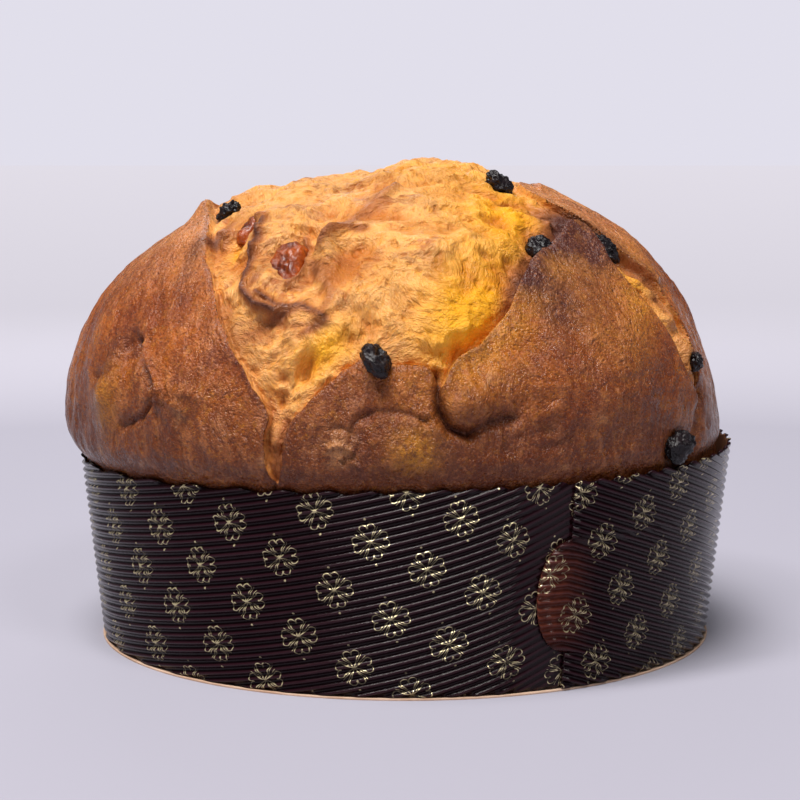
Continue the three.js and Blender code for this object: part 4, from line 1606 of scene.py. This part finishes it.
        # The finish paints shade into the crumb where this crest value is low.
        crest = ease(-1.8, 1.6, tufts + 0.8) * ease(-5.5, -1.0, dug)
        store(loaf, "tear", tear)
        store(loaf, "crest", np.where(tear > 0, crest, 1))
        store(loaf, "scorch", np.clip(np.maximum(scorch, edge_line), 0, 1))
        store(loaf, "glow", np.clip(total_over(GLOW, spots), 0, 1))
        store(loaf, "pale", np.clip(total_over(PALE, spots), 0, 1))
        store_map(loaf, Pattern.DOME.value, spots * MM_PER_DEGREE * MM)

    @staticmethod
    def _press(points: Array, outward: Array, seat: Seat) -> Array:
        """Presses the surface in round a piece that sits in it.

        Args:
            points: places on the loaf.
            outward: the way out at each.
            seat: the piece's seat.

        Returns:
            The pressed places.
        """
        local = (points - seat.middle) @ seat.axes / (seat.half * 1.05)
        held = np.exp(-(np.linalg.norm(local, axis=1) ** 4))
        return points - outward * (0.55 * seat.half[2] * held)[:, None]

    def _fill_case(self, loaf: bpy.types.Object) -> None:
        """Extrudes the rim down into the case and closes the underside.

        Args:
            loaf: the raised dome, open below.
        """
        uses: dict[tuple[int, int], int] = {}
        for polygon in loaf.data.polygons:
            for key in polygon.edge_keys:
                uses[key] = uses.get(key, 0) + 1
        rim = np.zeros(len(loaf.data.vertices), bool)
        rim[[end for key, count in uses.items() if count == 1 for end in key]] = True
        select(loaf, "vertices", rim)
        for height, inset in ((50.0, 0.75), (self.floor + 3, 0.75), (self.floor, 4.0)):
            edit("VERT")
            bpy.ops.mesh.extrude_region_move(TRANSFORM_OT_translate={"value": (0, 0, -1)})
            bpy.ops.object.mode_set(mode="OBJECT")
            points = points_of(loaf)
            chosen = np.empty(len(points), bool)
            loaf.data.vertices.foreach_get("select", chosen)
            radius = self.case_radius(height) - inset
            ring = points[chosen, :2]
            ring *= (radius / np.hypot(*ring.T))[:, None]
            points[chosen] = np.column_stack((ring, np.full(len(ring), height)))
            set_points(loaf, points)
        edit("VERT")
        bpy.ops.mesh.extrude_region_move(TRANSFORM_OT_translate={"value": (0, 0, 0)})
        bpy.ops.mesh.merge(type="CENTER")
        finish_edit(loaf)


# Raisins and peel


@dataclass
class Raisin:
    """A dried grape, set where the frame's node lies."""

    node: str
    fineness: int = 5
    pucker: float = 0.75
    pucker_size: float = 2.5

    def build(self) -> bpy.types.Object:
        """Models the raisin: a ball, stretched, seated and puckered into a net of ridges.

        Returns:
            The finished mesh.
        """
        seat = Seat.of(self.node)
        start_piece()
        bpy.ops.mesh.primitive_ico_sphere_add(subdivisions=self.fineness, radius=MM)
        raisin = bpy.context.object
        raisin.name = f"{self.node}_skin"
        edit_all("VERT")
        bpy.ops.transform.resize(value=tuple(seat.half * 1.02))
        bpy.ops.object.mode_set(mode="OBJECT")
        raisin.data.transform(seat.matrix())
        points = points_of(raisin) / MM
        outward = (points - seat.middle) @ seat.axes / seat.half**2 @ seat.axes.T
        outward /= np.linalg.norm(outward, axis=1)[:, None]
        noise = Noise(40 + int(self.node.rpartition("_")[2]))
        net = noise.ridged(noise.stirred(points, 5.0, 1.6), self.pucker_size, 2, 0.6)
        dents = noise.at(points, 5.5)
        set_points(raisin, (points + outward * (self.pucker * (net + dents - 0.6))[:, None]) * MM)
        bpy.ops.object.shade_smooth()
        return raisin


@dataclass
class Peel:
    """A lump of candied peel, set where the frame's node lies and sunk in a little."""

    node: str
    roughness: float = 0.7
    sunk: float = 2.4
    pit_size: float = 3.0
    fullness: Triple = (1.0, 1.2, 1.15)

    def build(self) -> bpy.types.Object:
        """Models the peel: a block, cut finer, rounded, seated and roughened.

        Returns:
            The finished mesh.
        """
        seat = Seat.of(self.node)
        start_piece()
        bpy.ops.mesh.primitive_cube_add(size=2 * MM)
        peel = bpy.context.object
        peel.name = f"{self.node}_lump"
        edit_all("VERT")
        bpy.ops.mesh.subdivide(number_cuts=1, fractal=0.25, seed=len(self.node))
        bpy.ops.transform.resize(value=tuple(seat.half * self.fullness))
        bpy.ops.object.mode_set(mode="OBJECT")
        outward = seat.middle - (0, 0, DOME_MIDDLE)
        outward /= np.linalg.norm(outward)
        inward = Vector(-self.sunk * MM * outward)
        peel.data.transform(Matrix.Translation(inward) @ seat.matrix())
        rounding = peel.modifiers.new("rounding", "SUBSURF")
        rounding.levels = rounding.render_levels = 4
        texture = bpy.data.textures.new(f"{self.node}_pits", "MUSGRAVE")
        texture.noise_scale = self.pit_size * MM
        displace = peel.modifiers.new("pits", "DISPLACE")
        displace.texture = texture
        displace.strength = self.roughness * MM
        displace.mid_level = 0.3
        apply_modifiers(peel)
        bpy.ops.object.shade_smooth()
        return peel


# Case


@dataclass
class PaperCase:
    """The fluted wall, rolled from a flat strip with its ends overlapping, and the round base.

    The strip starts at the seam and runs to the right. Its flutes slope, more to the right of the
    seam than to the left, and its start has a round worn tab.
    """

    height: float = 62.0
    base_radius: float = 99.7
    rim_radius: float = 106.6
    rim_tilt: float = 2.3
    paper: float = 0.35
    flute_depth: float = 0.9
    flute_pitch: float = 2.4
    seam_longitude: float = 27.0
    overlap: float = 12.0
    tab_reach: float = 10.0
    tab_half_height: float = 17.0
    tab_middle: float = 29.0
    lift_length: float = 34.0
    pressed: float = 0.2
    slope_right: float = 0.36
    slope_left: float = 0.24
    slope_bend: float = 0.26
    bend_length: float = 32.0
    bottom: float = 0.9
    columns: int = 150
    rows_per_flute: int = 8
    flute_sharpness: float = 1.3
    print_start: Place = (20.0, 25.2)
    print_end: Place = (25.6, 18.4)
    print_drift: Place = (100.0, 450.0)
    clearance: float = 0.3
    trim_margin: float = 4.0
    rim_jag: float = 0.55
    card_radius: float = 101.3
    card_thickness: float = 0.6

    @property
    def middle_radius(self) -> float:
        """Inside radius halfway up."""
        return (self.base_radius + self.rim_radius) / 2

    @property
    def turn_length(self) -> float:
        """Length of strip that goes once round."""
        return 2 * math.pi * self.middle_radius

    def rise(self, along: Array) -> Array:
        """Height that a flute has gained at places along the strip."""
        half = self.turn_length / 2
        along = np.clip(along, 0, self.turn_length)
        left_sum = self.slope_left * half / 2 + self.slope_bend * self.bend_length
        near = self.slope_right * (half / 2 - (along - along**2 / (2 * half))) - left_sum
        rest = self.turn_length - along
        bent = self.slope_bend * self.bend_length * (1 - np.exp(-rest / self.bend_length))
        far = -self.slope_left * (rest - rest**2 / (2 * half)) - bent
        return np.where(along < half, near, far)

    def tab(self, height: Array) -> Array:
        """How far the round tab sticks out of the strip's end at a height."""
        share = (height - self.tab_middle) / self.tab_half_height
        return self.tab_reach * np.sqrt(np.clip(1 - share**2, 0, None))

    def rim(self, along: Array) -> Array:
        """Height of the rim above the wall's mean height, with the small jags of the flutes."""
        angle = math.radians(self.seam_longitude) + along / self.middle_radius
        tilt = self.rim_tilt * np.sin(angle)
        phase = (self.height + tilt - self.rise(along)) / self.flute_pitch
        return tilt + self.rim_jag * np.cos(2 * math.pi * phase)

    def build_wall(self) -> bpy.types.Object:
        """Models the wall: a flat sheet ruled along the flutes, trimmed, thickened and rolled up.

        Returns:
            The finished mesh.
        """
        length = self.turn_length + self.overlap
        rises = self.rise(np.linspace(0, length, 200))
        top = self.height + self.rim_tilt + self.trim_margin
        first = math.floor((-self.trim_margin - rises.max()) / self.flute_pitch)
        last = math.ceil((top - rises.min()) / self.flute_pitch)
        rows = (last - first) * self.rows_per_flute
        start_piece()
        bpy.ops.mesh.primitive_grid_add(x_subdivisions=self.columns, y_subdivisions=rows, size=2)
        wall = bpy.context.object
        wall.name = "fluted_wall"
        share, level = (points_of(wall)[:, :2].T + 1) / 2
        phase = first + level * (last - first)
        along = share * length
        for _ in range(4):
            height = phase * self.flute_pitch + self.rise(along)
            along = share * length - self.tab(height) * (1 - share) ** 6
        set_points(wall, np.column_stack((along, height - self.rim(along), np.zeros(len(along)))))
        self._trim(wall)
        self._thicken_and_roll(wall)
        return wall

    def _trim(self, wall: bpy.types.Object) -> None:
        """Cuts the flat sheet along the rim and along the bottom."""
        edit_all("VERT")
        bpy.ops.mesh.bisect(plane_co=(0, self.height, 0), plane_no=(0, 1, 0), clear_outer=True)
        bpy.ops.object.mode_set(mode="OBJECT")
        flat = points_of(wall)
        flat[:, 1] += self.rim(flat[:, 0])
        set_points(wall, flat)
        edit_all("VERT")
        bpy.ops.mesh.bisect(plane_co=(0, self.bottom, 0), plane_no=(0, 1, 0), clear_inner=True)
        bpy.ops.object.mode_set(mode="OBJECT")

    def _thicken_and_roll(self, wall: bpy.types.Object) -> None:
        """Gives the sheet its flutes outside and its smooth face inside, and rolls it up.

        Args:
            wall: the trimmed flat sheet.
        """
        edit_all("FACE")
        bpy.ops.mesh.extrude_region_move(TRANSFORM_OT_translate={"value": (0, 0, 1)})
        bpy.ops.object.mode_set(mode="OBJECT")
        flat = points_of(wall)
        along, height, outside = flat[:, 0], flat[:, 1], flat[:, 2] > 0.5
        across = height - self.rise(along)
        crest = (0.5 + 0.5 * np.cos(2 * math.pi * across / self.flute_pitch)) ** self.flute_sharpness
        tucked = self.turn_length - self.tab_reach - 3
        standing = 1 - (1 - self.pressed) * ease(tucked - 6, tucked, along)
        lift = self.paper + self.flute_depth * self.pressed + self.clearance
        lifted = lift * (1 - ease(self.overlap, self.lift_length, along))
        proud = np.where(outside, self.paper + self.flute_depth * crest * standing, 0)
        angle = math.radians(self.seam_longitude) + along / self.middle_radius
        slant = (self.rim_radius - self.base_radius) * height / self.height
        radius = self.base_radius + slant + lifted + proud
        set_points(wall, np.column_stack((radius * np.sin(angle), -radius * np.cos(angle), height)) * MM)
        stations = np.linspace(0, self.turn_length, 400)
        lean = np.interp(along, stations, np.gradient(self.rise(stations), stations))
        drift = ease(*self.print_drift, along)[:, None]
        start = np.array(self.print_start) * (1 - drift) + np.array(self.print_end) * drift
        flat_place = np.column_stack((along + (height - self.height / 2) * lean, across))
        store_map(wall, Pattern.STRIP.value, (flat_place - start) * MM)
        store(wall, "crest", crest)
        store(wall, "worn", ease(11, -9, along) * ease(20, 8, np.abs(height - self.tab_middle)))
        inner = np.zeros(len(wall.data.polygons), int)
        for polygon in wall.data.polygons:
            inner[polygon.index] = not outside[list(polygon.vertices)].any()
        edit("FACE")
        finish_edit(wall)
        wall.data.materials.clear()
        wall.data.polygons.foreach_set("material_index", inner)

    def build_base(self) -> bpy.types.Object:
        """Models the round card: a disc with a rolled edge and a shallow pressed ring.

        Returns:
            The finished mesh.
        """
        start_piece()
        radius, thickness = self.card_radius * MM, self.card_thickness * MM
        bpy.ops.mesh.primitive_cylinder_add(vertices=192, radius=radius, depth=thickness)
        card = bpy.context.object
        card.name = "base_card"
        edit("FACE")
        bpy.ops.mesh.select_all(action="DESELECT")
        bpy.ops.object.mode_set(mode="OBJECT")
        middles = face_middles(card)
        select(card, "polygons", middles[:, 2] < -0.4 * thickness)
        edit("FACE")
        bpy.ops.mesh.inset(thickness=6 * MM, depth=0)
        bpy.ops.mesh.inset(thickness=1.2 * MM, depth=-0.15 * MM)
        bpy.ops.mesh.inset(thickness=20 * MM, depth=0)
        bpy.ops.object.mode_set(mode="OBJECT")
        card.data.transform(Matrix.Translation((0, 0, thickness / 2)))
        edge = card.modifiers.new("edge", "BEVEL")
        edge.width = 0.12 * MM
        edge.segments = 2
        apply_modifiers(card)
        bpy.ops.object.shade_smooth_by_angle(angle=math.radians(30))
        return card


# Studio


@dataclass
class Studio:
    """The pale sheet, the soft lights and the camera."""

    distance: float = 0.670
    height: float = 0.1546
    pitch: float = 0.117
    focal_pixels: float = 2013.0
    frame_pixels: float = 800.0
    axis_pixel: float = 405.1
    sensor: float = 36.0
    backdrop: Colour = (0.755, 0.738, 0.83)
    surround: Colour = (0.72, 0.72, 0.82)
    surround_strength: float = 0.1
    sheet_size: float = 300.0

    def build(self, groups: EffectGroups) -> None:
        """Sets up everything round the loaf.

        Args:
            groups: the effect groups that finishes use.
        """
        self._sheet(StudioFinish(groups).material())
        self._sun("sky", (0.16, 0.28, -1.0), 2.15, 28.0, (1.0, 0.975, 0.95))
        self._lamp("left_box", (-0.55, -0.5, 1.3), 0.26, 6.0, (1.0, 0.97, 0.96))
        self._lamp("front_box", (0.4, -0.8, 1.1), 0.28, 3.2, (1.0, 0.98, 0.97))
        self._lamp("back_box", (-0.15, 0.95, 0.8), 0.6, 2.0, (1.0, 0.98, 1.0))
        self._surroundings()
        self._camera()

    def _sheet(self, finish: bpy.types.Material) -> None:
        """Wide plain floor."""
        start_piece()
        bpy.ops.mesh.primitive_plane_add(size=self.sheet_size)
        sheet = bpy.context.object
        sheet.name = "studio_sheet"
        sheet.data.materials.append(finish)

    @staticmethod
    def _sun(name: str, aim: Triple, strength: float, spread: float, colour: Colour) -> None:
        """Adds a wide soft light from far away.

        Args:
            name: the light's name.
            aim: the way that it shines.
            strength: its strength.
            spread: how wide it looks, in degrees.
            colour: its colour.
        """
        light = bpy.data.lights.new(name, "SUN")
        light.energy = strength * math.pi / 2
        light.angle = math.radians(spread)
        light.color = colour
        sun = bpy.data.objects.new(name, light)
        sun.rotation_euler = Vector(aim).to_track_quat("-Z", "Y").to_euler()
        bpy.context.scene.collection.objects.link(sun)

    @staticmethod
    def _lamp(name: str, place: Triple, size: float, power: float, colour: Colour) -> None:
        """Adds a soft square lamp that points at the loaf.

        Args:
            name: the lamp's name.
            place: where it hangs, in metres.
            size: its side.
            power: its power in watts.
            colour: its colour.
        """
        light = bpy.data.lights.new(name, "AREA")
        light.size = size
        light.energy = power
        light.color = colour
        lamp = bpy.data.objects.new(name, light)
        lamp.location = place
        aim = Vector((0, 0, 0.08)) - Vector(place)
        lamp.rotation_euler = aim.to_track_quat("-Z", "Y").to_euler()
        bpy.context.scene.collection.objects.link(lamp)

    def _surroundings(self) -> None:
        """Pale backdrop, a dimmer even light from all round, and plain colour handling."""
        world = bpy.data.worlds.new("studio")
        world.use_nodes = True
        sheet = NodeSheet(world.node_tree)
        seen = world.node_tree.nodes["Background"]
        seen.inputs["Color"].default_value = (*self.backdrop, 1.0)
        seen.inputs["Strength"].default_value = 1.0
        colours = {"Color": (*self.surround, 1.0), "Strength": self.surround_strength}
        lights = sheet.node("ShaderNodeBackground", colours)
        mixer = sheet.node("ShaderNodeMixShader")
        sheet.feed(mixer.inputs[0], sheet.node("ShaderNodeLightPath").outputs["Is Camera Ray"])
        sheet.feed(mixer.inputs[1], lights.outputs[0])
        sheet.feed(mixer.inputs[2], seen.outputs[0])
        sheet.feed(world.node_tree.nodes["World Output"].inputs["Surface"], mixer.outputs[0])
        bpy.context.scene.world = world
        bpy.context.scene.view_settings.view_transform = "Standard"

    def _camera(self) -> None:
        """Puts the camera at the photograph's viewing angle."""
        data = bpy.data.cameras.new("camera")
        data.sensor_width = self.sensor
        data.lens = self.focal_pixels / self.frame_pixels * self.sensor
        camera = bpy.data.objects.new("camera", data)
        sideways = (self.axis_pixel - self.frame_pixels / 2) / self.focal_pixels * self.distance
        camera.location = (-sideways, -self.distance, self.height)
        camera.rotation_euler = (math.pi / 2 - self.pitch, 0, 0)
        bpy.context.scene.collection.objects.link(camera)
        bpy.context.scene.camera = camera


def main() -> None:
    """Builds every piece in order, hands it over and reports it."""
    logging.basicConfig(level=logging.INFO, format="%(name)s: %(message)s")
    groups = EffectGroups()
    Studio().build(groups)

    raisin_nodes = sorted(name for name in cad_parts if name.startswith("raisin"))
    peel_nodes = sorted(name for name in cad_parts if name.startswith("peel"))
    loaf = Loaf(seats=[Seat.of(node) for node in raisin_nodes]).build()
    hand_over(loaf, "crust", ("loaf",), BreadFinish(groups).material())

    skin = RaisinFinish(groups).material()
    for node in raisin_nodes:
        hand_over(Raisin(node).build(), "raisin", (node,), skin)
    candied = PeelFinish(groups).material()
    for node in peel_nodes:
        hand_over(Peel(node).build(), "candied_peel", (node,), candied)

    case = PaperCase()
    lining = LiningFinish(groups).material()
    wall = case.build_wall()
    hand_over(wall, "case_paper", ("case_wall",), PaperFinish(groups).material(), lining)
    hand_over(case.build_base(), "base_card", ("case_base",), CardFinish(groups).material())


if __name__ == "__main__":
    main()
